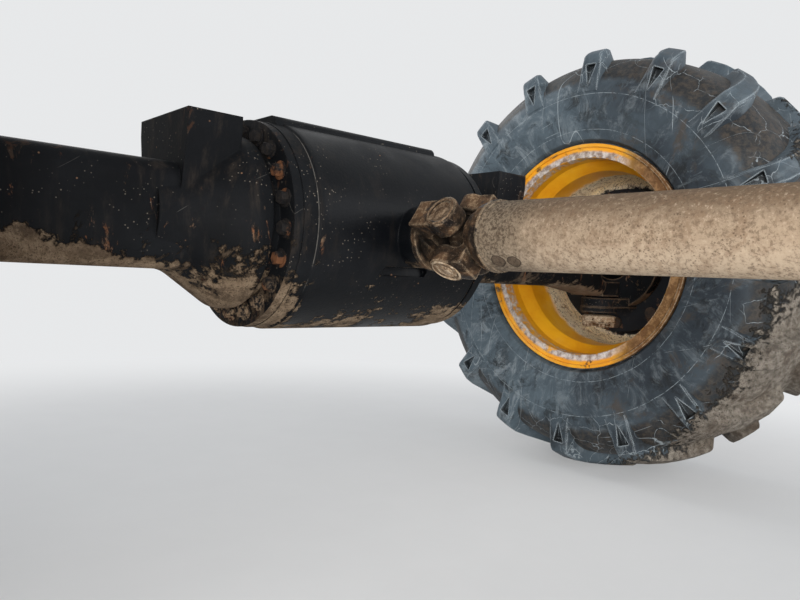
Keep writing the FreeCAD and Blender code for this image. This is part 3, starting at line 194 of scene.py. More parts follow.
class Nodes:
    """Short calls for the nodes of one material."""

    def __init__(self, name):
        self.material = bpy.data.materials.new(name)
        self.material.use_nodes = True
        self.tree = self.material.node_tree
        self.tree.nodes.clear()
        self.out = self.add("ShaderNodeOutputMaterial")
        self.shader = self.add("ShaderNodeBsdfPrincipled")
        self.tree.links.new(self.shader.outputs[0], self.out.inputs["Surface"])
        coordinates = self.add("ShaderNodeTexCoord").outputs
        self.place = coordinates["Object"]
        self.normal = coordinates["Normal"]
        self.split = None

    def link(self, value, socket):
        if hasattr(value, "is_output"):
            self.tree.links.new(value, socket)
        elif isinstance(value, (tuple, list)) and len(value) == 3 and socket.type == "RGBA":
            socket.default_value = (*value, 1)
        else:
            socket.default_value = value

    def add(self, kind, **inputs):
        node = self.tree.nodes.new(kind)
        for name, value in inputs.items():
            self.link(value, node.inputs[name.replace("_", " ")])
        return node

    def xyz(self):
        """X, Y and Z of the place on the part at rest."""
        if self.split is None:
            self.split = self.add("ShaderNodeSeparateXYZ", Vector=self.place)
        return self.split.outputs

    def facing(self):
        """X, Y and Z of the surface's own direction, 1 where it faces that way."""
        return self.add("ShaderNodeSeparateXYZ", Vector=self.normal).outputs

    def vectors(self, operation, *values):
        node = self.add("ShaderNodeVectorMath")
        node.operation = operation
        for value, socket in zip(values, node.inputs):
            self.link(value, socket)
        return node

    def stretched(self, factors, place=None):
        """The place with each coordinate times its factor."""
        return self.vectors("MULTIPLY", place or self.place, factors).outputs[0]

    def leaning(self, axis, degrees, factors):
        """The place turned about an axis, then stretched, for streaks that lean."""
        turn = self.add("ShaderNodeVectorRotate", Vector=self.place)
        turn.rotation_type = axis + "_AXIS"
        turn.inputs["Angle"].default_value = math.radians(degrees)
        return self.stretched(factors, turn.outputs[0])

    def polar(self, centre, around, outwards):
        """A place by angle about the wheel's axis and by radius, each times its factor."""
        x, y, z = self.xyz()
        angle = self.math("ARCTAN2", self.minus(z, centre), y)
        reach = self.radius(y, z, centre)
        parts = [self.both(angle, around), self.both(reach, outwards), self.both(x, outwards)]
        return self.add("ShaderNodeCombineXYZ", **dict(zip("XYZ", parts))).outputs[0]

    def wavy(self, scale, amount):
        """The place shifted by noise, so that straight cell edges wander."""
        shift = self.add("ShaderNodeTexNoise", Vector=self.place, Scale=scale, Detail=3.0).outputs["Color"]
        return self.vectors("MULTIPLY_ADD", shift, (amount, amount, amount), self.place).outputs[0]

    def noise(self, scale, detail=4.0, roughness=0.55, distortion=0.0, place=None):
        return self.add("ShaderNodeTexNoise", Vector=place or self.place, Scale=scale, Detail=detail,
                        Roughness=roughness, Distortion=distortion).outputs["Fac"]

    def cells(self, scale, feature="F1", place=None):
        node = self.add("ShaderNodeTexVoronoi")
        node.feature = feature
        self.link(place or self.place, node.inputs["Vector"])
        node.inputs["Scale"].default_value = scale
        return node.outputs["Distance"]

    def math(self, operation, *values):
        node = self.add("ShaderNodeMath")
        node.operation = operation
        for value, socket in zip(values, node.inputs):
            self.link(value, socket)
        return node.outputs[0]

    def chain(self, operation, values):
        result = values[0]
        for value in values[1:]:
            result = self.math(operation, result, value)
        return result

    def both(self, *values):
        """The product: 1 where all the values are 1."""
        return self.chain("MULTIPLY", values)

    def either(self, *values):
        """The greatest of the values."""
        return self.chain("MAXIMUM", values)

    def plus(self, *values):
        return self.chain("ADD", values)

    def minus(self, value, less):
        return self.math("SUBTRACT", value, less)

    def gap(self, value, other):
        """How far apart the two values are."""
        return self.math("ABSOLUTE", self.minus(value, other))

    def centred(self, value, amount):
        """A noise about zero, times the amount."""
        return self.both(self.minus(value, 0.5), amount)

    def ragged(self, value, noise_value, amount):
        """The value with a noise about zero added, so that its steps get uneven edges."""
        return self.plus(value, self.centred(noise_value, amount))

    def step(self, value, low, high):
        """0 below low, 1 above high, smooth between. Low may be the greater."""
        node = self.add("ShaderNodeMapRange", Value=value, From_Min=min(low, high), From_Max=max(low, high),
                        To_Min=float(low > high), To_Max=float(low <= high))
        node.interpolation_type = "SMOOTHSTEP"
        return node.outputs[0]

    def patch(self, low, high, *noise_values):
        """Patches of noise: 0 where it is below low, 1 where it is above high."""
        return self.step(self.noise(*noise_values), low, high)

    def mix(self, amount, first, second, kind="RGBA"):
        """Colours: the first where the amount is 0, the second where it is 1."""
        node = self.add("ShaderNodeMix")
        node.data_type = kind
        for name, value in (("Factor", amount), ("A", first), ("B", second)):
            self.link(value, node.inputs[name])
        return node.outputs["Result"]

    def blend(self, amount, first, second):
        """The same for plain numbers."""
        return self.mix(amount, first, second, "FLOAT")

    def coat(self, base, cover, share, colour):
        """The base with a colour laid over it, as thick as the cover times the share."""
        return self.mix(self.both(cover, share), base, colour)

    def radius(self, across, up, centre):
        """Distance from an axis: the two coordinates square to it, and its place in the second."""
        lifted = self.minus(up, centre)
        return self.math("SQRT", self.plus(self.both(across, across), self.both(lifted, lifted)))

    def soft_edges(self, radius):
        """A normal that rounds the edges by the radius."""
        soft = self.add("ShaderNodeBevel", Radius=radius)
        soft.samples = 4
        return soft.outputs[0]

    def hollow(self, reach):
        """1 deep in corners and slots, 0 in the open."""
        open_sky = self.add("ShaderNodeAmbientOcclusion", Distance=reach)
        open_sky.samples = 4
        return self.step(open_sky.outputs["AO"], 0.75, 0.35)

    def wear_and_highlight_edges(self, radius):
        """1 on edges that stand out, where things rub and where a painted edge highlight goes, 0 on flat
        ground.
        """
        flat = self.add("ShaderNodeNewGeometry").outputs["Normal"]
        along = self.vectors("DOT_PRODUCT", self.soft_edges(radius), flat).outputs["Value"]
        turn = self.minus(1.0, self.math("ABSOLUTE", along))
        return self.both(self.step(turn, 0.02, 0.10), self.step(self.hollow(radius * 3.0), 0.35, 0.10))

    def hair_lines(self, scale, place, width):
        """Thin long lines along the middle level of noise at a stretched place."""
        warp = self.noise(scale, 1.0, 0.5, 0.0, place)
        return self.step(self.gap(warp, 0.5), width, width * 0.2)

    def speckle(self, paint, scale, size, colour, share, where):
        """Small round spots of a colour, only where the last value is 1."""
        spots = self.both(self.step(self.cells(scale), size, size * 0.55), where)
        return self.coat(paint, spots, share, colour)

    def bump(self, height, distance, normal=None):
        node = self.add("ShaderNodeBump", Distance=distance, Height=height)
        if normal is not None:
            self.link(normal, node.inputs["Normal"])
        return node.outputs[0]

    def finish(self, colour, roughness, normal=None, metallic=0.0, specular=0.5):
        self.link(colour, self.shader.inputs["Base Color"])
        self.link(roughness, self.shader.inputs["Roughness"])
        self.link(metallic, self.shader.inputs["Metallic"])
        self.shader.inputs["Specular IOR Level"].default_value = specular
        if normal is not None:
            self.link(normal, self.shader.inputs["Normal"])
        return self.material


# Materials

def plain_floor():
    """Pale floor that runs into the backdrop far from the part."""
    n = Nodes("floor")
    x, y, _ = n.xyz()
    n.finish(n.mix(n.noise(9.0, 6.0, 0.6), FLOOR_DULL, FLOOR_PALE), 0.9)
    backdrop = n.add("ShaderNodeEmission", Color=BACKDROP)
    far = n.plus(n.both(n.step(n.radius(x, y, 0.0), 1.25, 2.5), 0.65), 0.35)
    pick = n.add("ShaderNodeMixShader")
    n.link(n.both(backdrop_rays(n.tree), far), pick.inputs[0])
    n.link(n.shader.outputs[0], pick.inputs[1])
    n.link(backdrop.outputs[0], pick.inputs[2])
    n.link(pick.outputs[0], n.out.inputs["Surface"])
    return n.material


def axle_paint():
    """Worn black paint with specks, rust runs and dried mud that clings below."""
    n = Nodes("axle_black")
    x, _, z = n.xyz()
    down = n.both(n.facing()[2], -1.0)
    coarse = n.noise(9.0, 6.0, 0.62, 0.4)
    fine = n.noise(60.0, 8.0, 0.68)
    grit = n.noise(380.0, 3.0, 0.6)
    beside = n.math("ABSOLUTE", x)
    # Stretches of the axle: drum, arms, bolted bells, forks at the ends, right arm
    drum = n.both(n.step(x, -0.205, -0.185), n.step(x, 0.2, 0.17))
    arm = n.step(beside, 0.4, 0.56)
    bell = n.both(n.step(beside, 0.19, 0.25), n.step(beside, 0.62, 0.44))
    end = n.step(beside, 0.57, 0.64)
    right = n.step(x, 0.3, 0.45)
    # The mud's edge is ragged, climbs the arms' sides and leaves drum and right arm mostly bare
    edge = n.plus(down, n.ragged(n.centred(coarse, 1.9), fine, 1.5))
    climb = n.both(arm, n.step(z, AXLE_Z + 0.002, AXLE_Z - 0.055))
    edge = n.plus(edge, n.both(climb, 1.08))
    edge = n.plus(edge, n.both(bell, n.step(z, AXLE_Z - 0.075, AXLE_Z - 0.135), 0.3))
    edge = n.minus(edge, n.both(drum, 0.26))
    beside_arm = n.both(drum, n.step(x, 0.085, 0.125), n.step(z, AXLE_Z - 0.085, AXLE_Z - 0.135))
    edge = n.plus(edge, n.both(beside_arm, 0.32))
    edge = n.minus(edge, n.both(n.either(n.both(end, 0.45), right), 1.05))
    mud = n.step(edge, 0.6, 0.74)
    # Torn smears on the bells' lower half, and a crust on the rubbed edges of the ends
    smear = n.noise(30.0, 9.0, 0.74, 0.4, n.leaning("Y", 40.0, (0.45, 1.0, 1.0)))
    patchy = n.plus(smear, n.both(bell, n.step(z, AXLE_Z, AXLE_Z - 0.12), 0.08))
    low = n.step(n.ragged(z, coarse, 0.06), AXLE_Z + 0.012, AXLE_Z - 0.06)
    blotch = n.both(n.step(patchy, 0.575, 0.635), low, n.step(drum, 0.9, 0.2))
    crusted = n.both(n.either(end, right), n.wear_and_highlight_edges(0.007), n.step(coarse, 0.3, 0.5))
    mud = n.either(mud, n.both(blotch, 0.55), crusted)
    # Worn paint under a dusty film in vertical runs, strongest round the bolted joints
    worn = n.patch(0.4, 0.75, 5.0, 5.0, 0.6)
    paint = n.mix(worn, BLACK_PAINT, BLACK_WORN)
    runs = n.noise(40.0, 7.0, 0.7, 0.3, n.stretched((1.0, 1.0, 0.22)))
    film = n.both(n.step(runs, 0.5, 0.74), n.plus(n.both(bell, 0.28), 0.1))
    paint = n.mix(film, paint, (0.06, 0.046, 0.035))
    # Rust in short runs, most at half height, and specks
    streak = n.noise(30.0, 8.0, 0.74, 0.5, n.stretched((1.0, 1.0, 0.3)))
    level = n.both(n.step(z, AXLE_Z + 0.06, AXLE_Z + 0.01), n.step(z, AXLE_Z - 0.1, AXLE_Z - 0.05))
    rust = n.both(n.step(streak, 0.6, 0.645), n.plus(n.both(level, 0.75), 0.2))
    rust = n.both(rust, n.step(drum, 0.9, 0.3))
    paint = n.mix(rust, paint, n.mix(n.step(fine, 0.42, 0.6), RUST, (0.16, 0.105, 0.068)))
    sparse = n.patch(0.48, 0.62, 13.0, 3.0)
    paint = n.speckle(paint, 150.0, 0.17, (0.22, 0.19, 0.155), 0.75, sparse)
    paint = n.speckle(paint, 47.0, 0.085, (0.24, 0.135, 0.08), 0.8, n.patch(0.5, 0.58, 7.0, 2.0))
    # Scratches on the bells, and a pale arc beside the drum's seam
    leaning = n.leaning("Y", 35.0, (0.06, 1.0, 1.0))
    scratch = n.both(n.hair_lines(16.0, leaning, 0.003), bell,
                     n.patch(0.55, 0.62, 15.0, 3.0), n.step(fine, 0.4, 0.52))
    seam = n.step(n.gap(x, SEAM_X), 0.0009, 0.0003)
    seam = n.both(seam, n.patch(0.44, 0.56, 14.0, 5.0), n.step(z, AXLE_Z - 0.14, AXLE_Z - 0.1))
    paint = n.coat(paint, n.either(scratch, seam), 0.42, (0.17, 0.16, 0.145))
    # The mud itself, darker on the bells' upright faces and towards the ends
    dirt = n.mix(n.step(fine, 0.34, 0.66), MUD_MID, MUD_PALE)
    dirt = n.coat(dirt, n.step(grit, 0.54, 0.64), 0.8, MUD_DARK)
    dirt = n.coat(dirt, n.patch(0.48, 0.62, 26.0, 7.0, 0.72), 0.8, (0.06, 0.041, 0.028))
    upright = n.both(bell, n.step(down, 0.75, 0.45))
    dirt = n.coat(dirt, upright, 0.6, n.mix(fine, (0.04, 0.027, 0.018), (0.115, 0.078, 0.05)))
    dirt = n.coat(dirt, end, 0.6, n.mix(fine, (0.07, 0.042, 0.026), (0.26, 0.18, 0.12)))
    colour = n.mix(mud, paint, dirt)
    roughness = n.blend(mud, n.blend(n.either(worn, film, n.minus(1.0, drum)), 0.36, 0.66), 0.95)
    cast = n.bump(n.noise(240.0, 4.0, 0.6), 0.0003, n.soft_edges(0.003))
    crust = n.plus(n.both(mud, 0.6), n.both(mud, n.plus(fine, grit)))
    return n.finish(colour, roughness, n.bump(crust, 0.0028, cast), specular=0.1)


def rusty_bolts():
    """Bolt heads: some black, some rusted, some caked with mud."""
    n = Nodes("rusty_bolts")
    fine = n.noise(150.0, 7.0, 0.68)
    each = n.noise(21.0, 1.0, 0.5)
    base = n.mix(n.step(n.ragged(each, fine, 0.35), 0.55, 0.64), (0.007, 0.007, 0.008),
                 (0.115, 0.048, 0.022))
    below = n.step(n.ragged(n.xyz()[2], each, 0.1), AXLE_Z - 0.07, AXLE_Z - 0.13)
    base = n.mix(n.both(n.step(fine, 0.42, 0.58), n.plus(n.both(below, 0.85), 0.04)), base,
                 (0.22, 0.155, 0.1))
    return n.finish(base, 0.88, n.bump(fine, 0.0014, n.soft_edges(0.0015)), specular=0.15)


def caked_mud():
    """Dried tan mud over rust, pale on what stands out, with painted shade in the gaps and on the top."""
    n = Nodes("caked_mud")
    fine = n.noise(140.0, 8.0, 0.72)
    patch = n.noise(48.0, 6.0, 0.68, 0.4)
    base = n.mix(n.step(patch, 0.4, 0.56), (0.085, 0.045, 0.024), (0.27, 0.185, 0.115))
    base = n.mix(n.both(n.step(fine, 0.46, 0.58), n.step(patch, 0.38, 0.5)), base, (0.46, 0.37, 0.27))
    base = n.coat(base, n.both(n.wear_and_highlight_edges(0.003), n.step(fine, 0.36, 0.48)), 0.85, (0.58, 0.47, 0.33))
    # Painted shade in the gaps
    base = n.coat(base, n.hollow(0.01), 0.8, (0.022, 0.015, 0.01))
    # Painted shade: darker brown above the shaft's line
    above = n.step(n.ragged(n.xyz()[2], patch, 0.03), SHAFT_Z - 0.01, SHAFT_Z + 0.015)
    base = n.coat(base, above, 0.8,
                  n.mix(n.step(fine, 0.45, 0.62), (0.05, 0.029, 0.016), (0.16, 0.1, 0.058)))
    return n.finish(base, 0.92, n.bump(n.plus(fine, patch), 0.001, n.soft_edges(0.0012)), specular=0.15)


def wheel_mud(n, fine, grit, clean):
    """Pale mud of rim and disc, with dark grit where the grit's noise passes clean."""
    mud = n.mix(n.step(fine, 0.34, 0.5), RIM_MUD, RIM_MUD_PALE)
    return n.mix(n.step(grit, clean, 0.66), mud, MUD_DARK)


def rim_paint():
    """Yellow paint, chipped grey ring by the bead, rust on the rolled edge, mud by the disc."""
    n = Nodes("rim_yellow")
    x, y, z = n.xyz()
    reach = n.radius(y, z, AXLE_Z)
    beside = n.math("ABSOLUTE", x)
    coarse = n.noise(11.0, 6.0, 0.6, 0.5)
    fine = n.noise(70.0, 7.0, 0.65)
    grit = n.noise(260.0, 4.0, 0.6)
    rough_reach = n.ragged(reach, fine, 0.012)
    paint = n.mix(n.step(coarse, 0.3, 0.7), YELLOW, YELLOW_DEEP)
    inboard = n.step(beside, 0.742, 0.73)
    ring = n.both(inboard, n.step(rough_reach, 0.244, 0.2475), n.step(rough_reach, 0.2655, 0.259))
    side = n.step(n.ragged(y, coarse, 0.1), -0.08, -0.17)
    ring = n.both(ring, n.patch(0.34, 0.46, 24.0, 6.0, 0.66), n.minus(1.0, n.both(side, 0.9)))
    paint = n.coat(paint, ring, 0.92,
                   n.mix(n.step(fine, 0.35, 0.65), (0.2, 0.16, 0.15), (0.72, 0.68, 0.66)))
    # Mud where the barrel meets the disc, and a thin film everywhere
    depth = n.ragged(beside, coarse, 0.09)
    packed = n.both(n.step(depth, 0.85, 0.88), n.step(beside, 0.975, 0.95))
    dirt = wheel_mud(n, fine, grit, 0.57)
    film = n.both(n.patch(0.45, 0.72, 6.0, 5.0, 0.6), 0.16)
    spots = n.both(n.patch(0.62, 0.68, 38.0, 6.0, 0.7), n.step(beside, 0.78, 0.86))
    colour = n.mix(n.either(n.both(packed, 0.95), film, n.both(spots, 0.6)), paint, dirt)
    # Rust eats the rolled edge, most on the side towards -Y
    chipped = n.both(n.step(rough_reach, 0.252, 0.262), n.patch(0.58, 0.65, 17.0, 7.0, 0.7, 0.6))
    lip = n.either(chipped, n.both(side, inboard, n.step(rough_reach, 0.24, 0.248)))
    colour = n.coat(colour, lip, 0.94,
                    n.mix(n.step(fine, 0.44, 0.66), (0.1, 0.045, 0.02), (0.27, 0.15, 0.068)))
    colour = n.mix(n.both(lip, n.wear_and_highlight_edges(0.004), n.step(fine, 0.38, 0.5)), colour, (0.52, 0.42, 0.3))
    roughness = n.blend(n.either(packed, lip), n.blend(ring, 0.36, 0.75), 0.93)
    grain = n.both(n.either(packed, lip, n.both(ring, 0.6)), n.plus(fine, grit))
    return n.finish(colour, roughness, n.bump(grain, 0.0025, n.soft_edges(0.003)))


def hub_paint():
    """Blue-black paint with a few rusty and muddy patches."""
    n = Nodes("hub_black")
    fine = n.noise(85.0, 8.0, 0.7)
    patch = n.noise(20.0, 6.0, 0.66, 0.4)
    base = n.mix(fine, (0.008, 0.01, 0.014), (0.02, 0.024, 0.03))
    base = n.coat(base, n.step(patch, 0.58, 0.64), 0.75, n.mix(fine, RUST, (0.13, 0.085, 0.055)))
    dusty = n.both(n.step(patch, 0.42, 0.34), n.step(fine, 0.48, 0.62))
    base = n.coat(base, dusty, 0.55, MUD_MID)
    return n.finish(base, n.blend(fine, 0.45, 0.75), n.bump(fine, 0.0008, n.soft_edges(0.002)),
                    specular=0.2)


def disc_paint():
    """Inner side of the disc is blue-black with mud at its edge, the outer side is yellow."""
    n = Nodes("disc_dark_inside")
    x, y, z = n.xyz()
    reach = n.radius(y, z, AXLE_Z)
    fine = n.noise(80.0, 8.0, 0.7)
    coarse = n.noise(14.0, 6.0, 0.62, 0.5)
    outside = n.step(n.both(n.facing()[0], n.math("SIGN", x)), 0.1, 0.3)
    dirt = wheel_mud(n, fine, n.noise(260.0, 4.0, 0.6), 0.55)
    edge = n.step(n.plus(reach, n.ragged(n.centred(coarse, 0.05), fine, 0.03)), 0.196, 0.204)
    patch = n.patch(0.6, 0.66, 22.0, 6.0, 0.66, 0.4)
    # Blue-black on the side towards the axle, with brown patches
    inner = n.coat((0.01, 0.012, 0.016), patch, 0.7, (0.11, 0.06, 0.034))
    inner = n.mix(edge, inner, dirt)
    outer = n.coat(YELLOW, n.step(coarse, 0.45, 0.75), 0.6, dirt)
    return n.finish(n.mix(outside, inner, outer), n.blend(outside, 0.85, 0.5), n.bump(fine, 0.0015))


def tyre_rubber(name, is_lug):
    """Weathered rubber, blue-grey with a painted sky reflection, with pale cracks and scratches, and mud on
    the side towards -Y.
    """
    n = Nodes(name)
    _, y, z = n.xyz()
    reach = n.radius(y, z, AXLE_Z)
    fine = n.noise(75.0, 9.0, 0.72)
    coarse = n.noise(6.0, 7.0, 0.66, 0.4)
    grit = n.noise(300.0, 4.0, 0.6)
    # Paler and bluer towards +Y: a painted sky reflection. Darker towards -Y, and browner there with mud
    light = n.ragged(n.both(y, 1.5), coarse, 1.7)
    base = n.mix(n.step(light, -0.45, 0.6), RUBBER, RUBBER_PALE)
    dark = n.step(n.plus(n.noise(17.0, 8.0, 0.74, 0.5), n.both(y, -0.1)), 0.5, 0.62)
    base = n.coat(base, dark, 0.8, RUBBER_DARK)
    # Chalky brushed streaks, heavier towards +Y where the sidewall is lit: dust with painted light
    dusty = n.plus(n.both(n.step(y, -0.15, 0.25), 0.34), 0.24)
    brushed = n.noise(1.0, 9.0, 0.78, 0.8, n.polar(AXLE_Z, 9.0, 15.0))
    base = n.mix(n.both(n.step(brushed, 0.48, 0.66), dusty), base, CHALK)
    base = n.coat(base, n.step(brushed, 0.46, 0.36), 0.5, RUBBER)
    base = n.coat(base, n.patch(0.46, 0.62, 4.5, 4.0, 0.6), 0.3, RUBBER_PALE)
    brown = n.both(n.patch(0.55, 0.66, 9.0, 7.0, 0.72, 0.5), n.step(y, 0.05, -0.15))
    base = n.coat(base, brown, 0.6, (0.07, 0.05, 0.035))
    if is_lug:
        # Worn paler tops and chalky edges, with a painted edge highlight, and painted shade in the corners
        worn = n.step(n.ragged(reach, fine, 0.05), 0.478, 0.5)
        base = n.coat(base, worn, 0.4, RUBBER_PALE)
        base = n.coat(base, n.wear_and_highlight_edges(0.006), n.step(fine, 0.3, 0.5), CHALK)
        base = n.coat(base, n.hollow(0.03), 0.85, (0.008, 0.008, 0.008))
    else:
        # Dark ground between the lugs, and two moulded rings on the sidewall
        valley = n.step(n.plus(reach, n.ragged(n.centred(fine, 0.02), coarse, 0.02)), 0.424, 0.44)
        base = n.coat(base, valley, 0.8, n.mix(n.step(fine, 0.4, 0.62), RUBBER_DARK, (0.06, 0.046, 0.034)))
        place = n.ragged(reach, coarse, 0.006)
        rings = n.either(n.step(n.gap(place, 0.3965), 0.0011, 0.0004),
                         n.step(n.gap(place, 0.312), 0.001, 0.0004))
        base = n.coat(base, n.both(rings, n.step(fine, 0.42, 0.56)), 0.55, CHALK)
    # Cracks between the lugs and long scratches over the sidewall
    cracked = n.step(n.ragged(reach, coarse, 0.1), 0.37, 0.43)
    cracks = n.both(n.step(n.cells(15.0, "DISTANCE_TO_EDGE", n.wavy(26.0, 0.03)), 0.012, 0.003), cracked,
                    n.patch(0.46, 0.56, 11.0, 3.0))
    upright = n.both(n.hair_lines(7.0, n.stretched((1.0, 1.0, 0.045)), 0.002), n.patch(0.5, 0.56, 6.5, 3.0))
    slanted = n.both(n.hair_lines(9.0, n.leaning("X", 20.0, (1.0, 0.05, 1.0)), 0.0018),
                     n.patch(0.53, 0.58, 8.0, 3.0))
    marks = n.both(n.either(cracks, upright, slanted), n.step(fine, 0.36, 0.46))
    base = n.coat(base, marks, 0.75, CHALK)
    # Mud cakes the tread and shoulder, ragged towards the sidewall
    front = n.plus(n.both(y, -2.0), n.ragged(n.centred(coarse, 1.5), fine, 1.4))
    front = n.plus(front, n.both(n.minus(reach, 0.46), 8.0))
    front = n.minus(front, n.both(n.step(z, AXLE_Z - 0.3, AXLE_Z + 0.15), 0.75))
    mud = n.both(n.step(front, 0.62, 0.86), n.step(reach, 0.34, 0.42))
    dirt = n.mix(n.step(fine, 0.34, 0.64), (0.115, 0.095, 0.074), (0.34, 0.3, 0.25))
    dirt = n.coat(dirt, n.patch(0.47, 0.62, 12.0, 8.0, 0.74, 0.5), 0.75, (0.095, 0.066, 0.045))
    dirt = n.coat(dirt, n.step(grit, 0.54, 0.64), 0.8, MUD_DARK)
    colour = n.coat(base, mud, 0.94, dirt)
    roughness = n.blend(mud, n.blend(fine, 0.5, 0.7), 0.95)
    crust = n.plus(n.both(mud, 0.5), n.both(mud, n.plus(fine, grit)))
    relief = n.bump(crust, 0.003, n.soft_edges(0.002))
    return n.finish(colour, roughness, n.bump(n.plus(fine, n.both(marks, -0.6)), 0.001, relief),
                    specular=0.28)


# Dark blots on the shaft's tube: place along it, level, half length, half height
BLOTS = [
    (-0.3625, SHAFT_Z - 0.035, 0.0135, 0.0078),
    (-0.39, SHAFT_Z - 0.035, 0.013, 0.0075),
]


def shaft_dust():
    """Dried brown dust, finely speckled, darker near the joint, with painted shade on the top and paler
    towards the bottom.
    """
    n = Nodes("shaft_dust")
    x, y, _ = n.xyz()
    fine = n.noise(170.0, 9.0, 0.78)
    coarse = n.noise(10.0, 5.0, 0.6)
    middle = n.noise(45.0, 8.0, 0.74, 0.4)
    base = n.mix(n.step(coarse, 0.3, 0.72), (0.3, 0.225, 0.155), (0.37, 0.28, 0.195))
    # Painted shade darkens the upper side; the underside is paler
    above = n.step(n.ragged(n.facing()[2], middle, 1.2), -0.1, 0.8)
    base = n.coat(base, above, 0.8, (0.105, 0.066, 0.038))
    below = n.step(n.facing()[2], -0.05, -0.75)
    base = n.coat(base, below, 0.55, (0.58, 0.465, 0.345))
    base = n.coat(base, n.step(middle, 0.47, 0.6), 0.5, (0.22, 0.145, 0.092))
    base = n.coat(base, n.step(fine, 0.5, 0.6), 0.6, (0.125, 0.085, 0.057))
    base = n.coat(base, n.step(fine, 0.46, 0.35), 0.5, (0.54, 0.43, 0.32))
    # Damp, greyer start of the tube with fine dots, drops, and dark blots below
    near = n.step(n.ragged(y, middle, 0.14), -0.46, -0.37)
    dots = n.noise(230.0, 6.0, 0.72)
    damp = n.mix(n.step(dots, 0.42, 0.56), (0.042, 0.03, 0.021), (0.2, 0.16, 0.115))
    base = n.coat(base, near, 0.8, damp)
    drops = n.both(n.step(n.cells(230.0), 0.32, 0.16), n.patch(0.4, 0.56, 25.0, 3.0))
    base = n.coat(base, drops, 0.6, (0.085, 0.055, 0.036))
    wavy = n.add("ShaderNodeSeparateXYZ", Vector=n.wavy(60.0, 0.006)).outputs
    for along, level, half_length, half_height in BLOTS:
        gap_y = n.math("DIVIDE", n.minus(wavy[1], along), half_length)
        gap_z = n.math("DIVIDE", n.minus(wavy[2], level), half_height)
        gap = n.radius(gap_y, gap_z, 0.0)
        inside = n.both(n.step(gap, 1.0, 0.86), n.step(x, 0.0, -0.01))
        rim = n.both(inside, n.step(gap, 0.7, 0.86))
        base = n.coat(base, inside, 0.8,
                      n.mix(n.step(fine, 0.4, 0.58), (0.042, 0.029, 0.02), (0.115, 0.082, 0.058)))
        base = n.coat(base, n.both(rim, n.step(fine, 0.36, 0.5)), 0.75, (0.02, 0.014, 0.01))
    return n.finish(base, 0.92, n.bump(n.plus(fine, middle), 0.0008), specular=0.15)


def joint_mud():
    """Oily brown castings of the shaft's joints, with dried mud and a painted highlight on their edges, and
    painted shade in the hollows.
    """
    n = Nodes("joint_mud")
    fine = n.noise(110.0, 9.0, 0.74)
    coarse = n.noise(26.0, 6.0, 0.62, 0.5)
    grit = n.noise(330.0, 4.0, 0.6)
    base = n.mix(n.step(coarse, 0.4, 0.62), (0.016, 0.01, 0.006), (0.095, 0.053, 0.028))
    base = n.coat(base, n.both(n.step(fine, 0.5, 0.6), n.step(coarse, 0.46, 0.6)), 0.8, (0.26, 0.18, 0.11))
    oily = n.patch(0.51, 0.58, 16.0, 5.0, 0.64)
    base = n.coat(base, oily, 0.9, (0.006, 0.005, 0.005))
    base = n.coat(base, n.step(grit, 0.58, 0.68), 0.4, (0.26, 0.19, 0.13))
    # Pale outer edges of the flanges and caps: dried mud with a painted edge highlight
    crust = n.both(n.wear_and_highlight_edges(0.0055), n.step(n.ragged(coarse, fine, 0.5), 0.38, 0.54))
    base = n.coat(base, crust, 0.85, (0.36, 0.275, 0.185))
    # Painted shade deep in the hollows
    base = n.coat(base, n.hollow(0.045), 0.9, (0.007, 0.0055, 0.004))
    lumps = n.bump(n.plus(fine, coarse), 0.0008, n.soft_edges(0.0012))
    return n.finish(base, n.blend(oily, 0.88, 0.5), lumps, specular=0.18)


def oily_steel():
    """Dark steel with a film of rust."""
    n = Nodes("oily_steel")
    fine = n.noise(120.0, 6.0, 0.65)
    coarse = n.noise(18.0, 5.0, 0.6)
    base = n.mix(n.step(coarse, 0.4, 0.65), (0.03, 0.026, 0.023), (0.11, 0.068, 0.042))
    base = n.coat(base, n.step(fine, 0.5, 0.7), 0.5, RUST)
    return n.finish(base, n.blend(coarse, 0.45, 0.8), n.bump(fine, 0.0008), 0.2)


def polished_rod():
    """Bright steel with faint marks along it."""
    n = Nodes("polished_rod")
    streak = n.noise(30.0, 4.0, 0.6, 0.0, n.stretched((0.08, 1.0, 1.0)))
    return n.finish(n.mix(streak, (0.5, 0.5, 0.5), (0.66, 0.66, 0.65)), n.blend(streak, 0.14, 0.3), None,
                    1.0)


# Mesh helpers

def mesh_object(name, points, faces):
    mesh = bpy.data.meshes.new(name)
    mesh.from_pydata([tuple(p) for p in points], [], faces)
    mesh.update()
    piece = bpy.data.objects.new(name, mesh)
    bpy.context.collection.objects.link(piece)
    return piece


def dress(piece, material, body, angle=35.0):
    """Material, slot and body of a piece, smooth except at edges over the angle."""
    piece.data.materials.clear()
    piece.data.materials.append(material)
    for face in piece.data.polygons:
        face.use_smooth = True
    piece.data.set_sharp_from_angle(angle=math.radians(angle))
    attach(piece, body)


class Builder:
    """Collects many small forms in one mesh."""

    def __init__(self):
        self.points = []
        self.faces = []

    def add(self, points, faces):
        start = len(self.points)
        self.points.extend(points)
        self.faces.extend([tuple(start + i for i in face) for face in faces])

    def stack(self, rings, matrix):
        """Rings of equal count joined into a closed form along their axis."""
        count = len(rings[0])
        points = [matrix @ Vector(p) for ring in rings for p in ring]
        faces = []
        for level in range(len(rings) - 1):
            for i in range(count):
                j = (i + 1) % count
                a = level * count
                b = a + count
                faces.append((a + i, a + j, b + j, b + i))
        faces.append(tuple(reversed(range(count))))
        faces.append(tuple(range((len(rings) - 1) * count, len(rings) * count)))
        self.add(points, faces)

    def object(self, name):
        return mesh_object(name, self.points, self.faces)


def ring_points(radius, height, count):
    turns = [math.tau * i / count for i in range(count)]
    return [(radius * math.cos(turn), radius * math.sin(turn), height) for turn in turns]


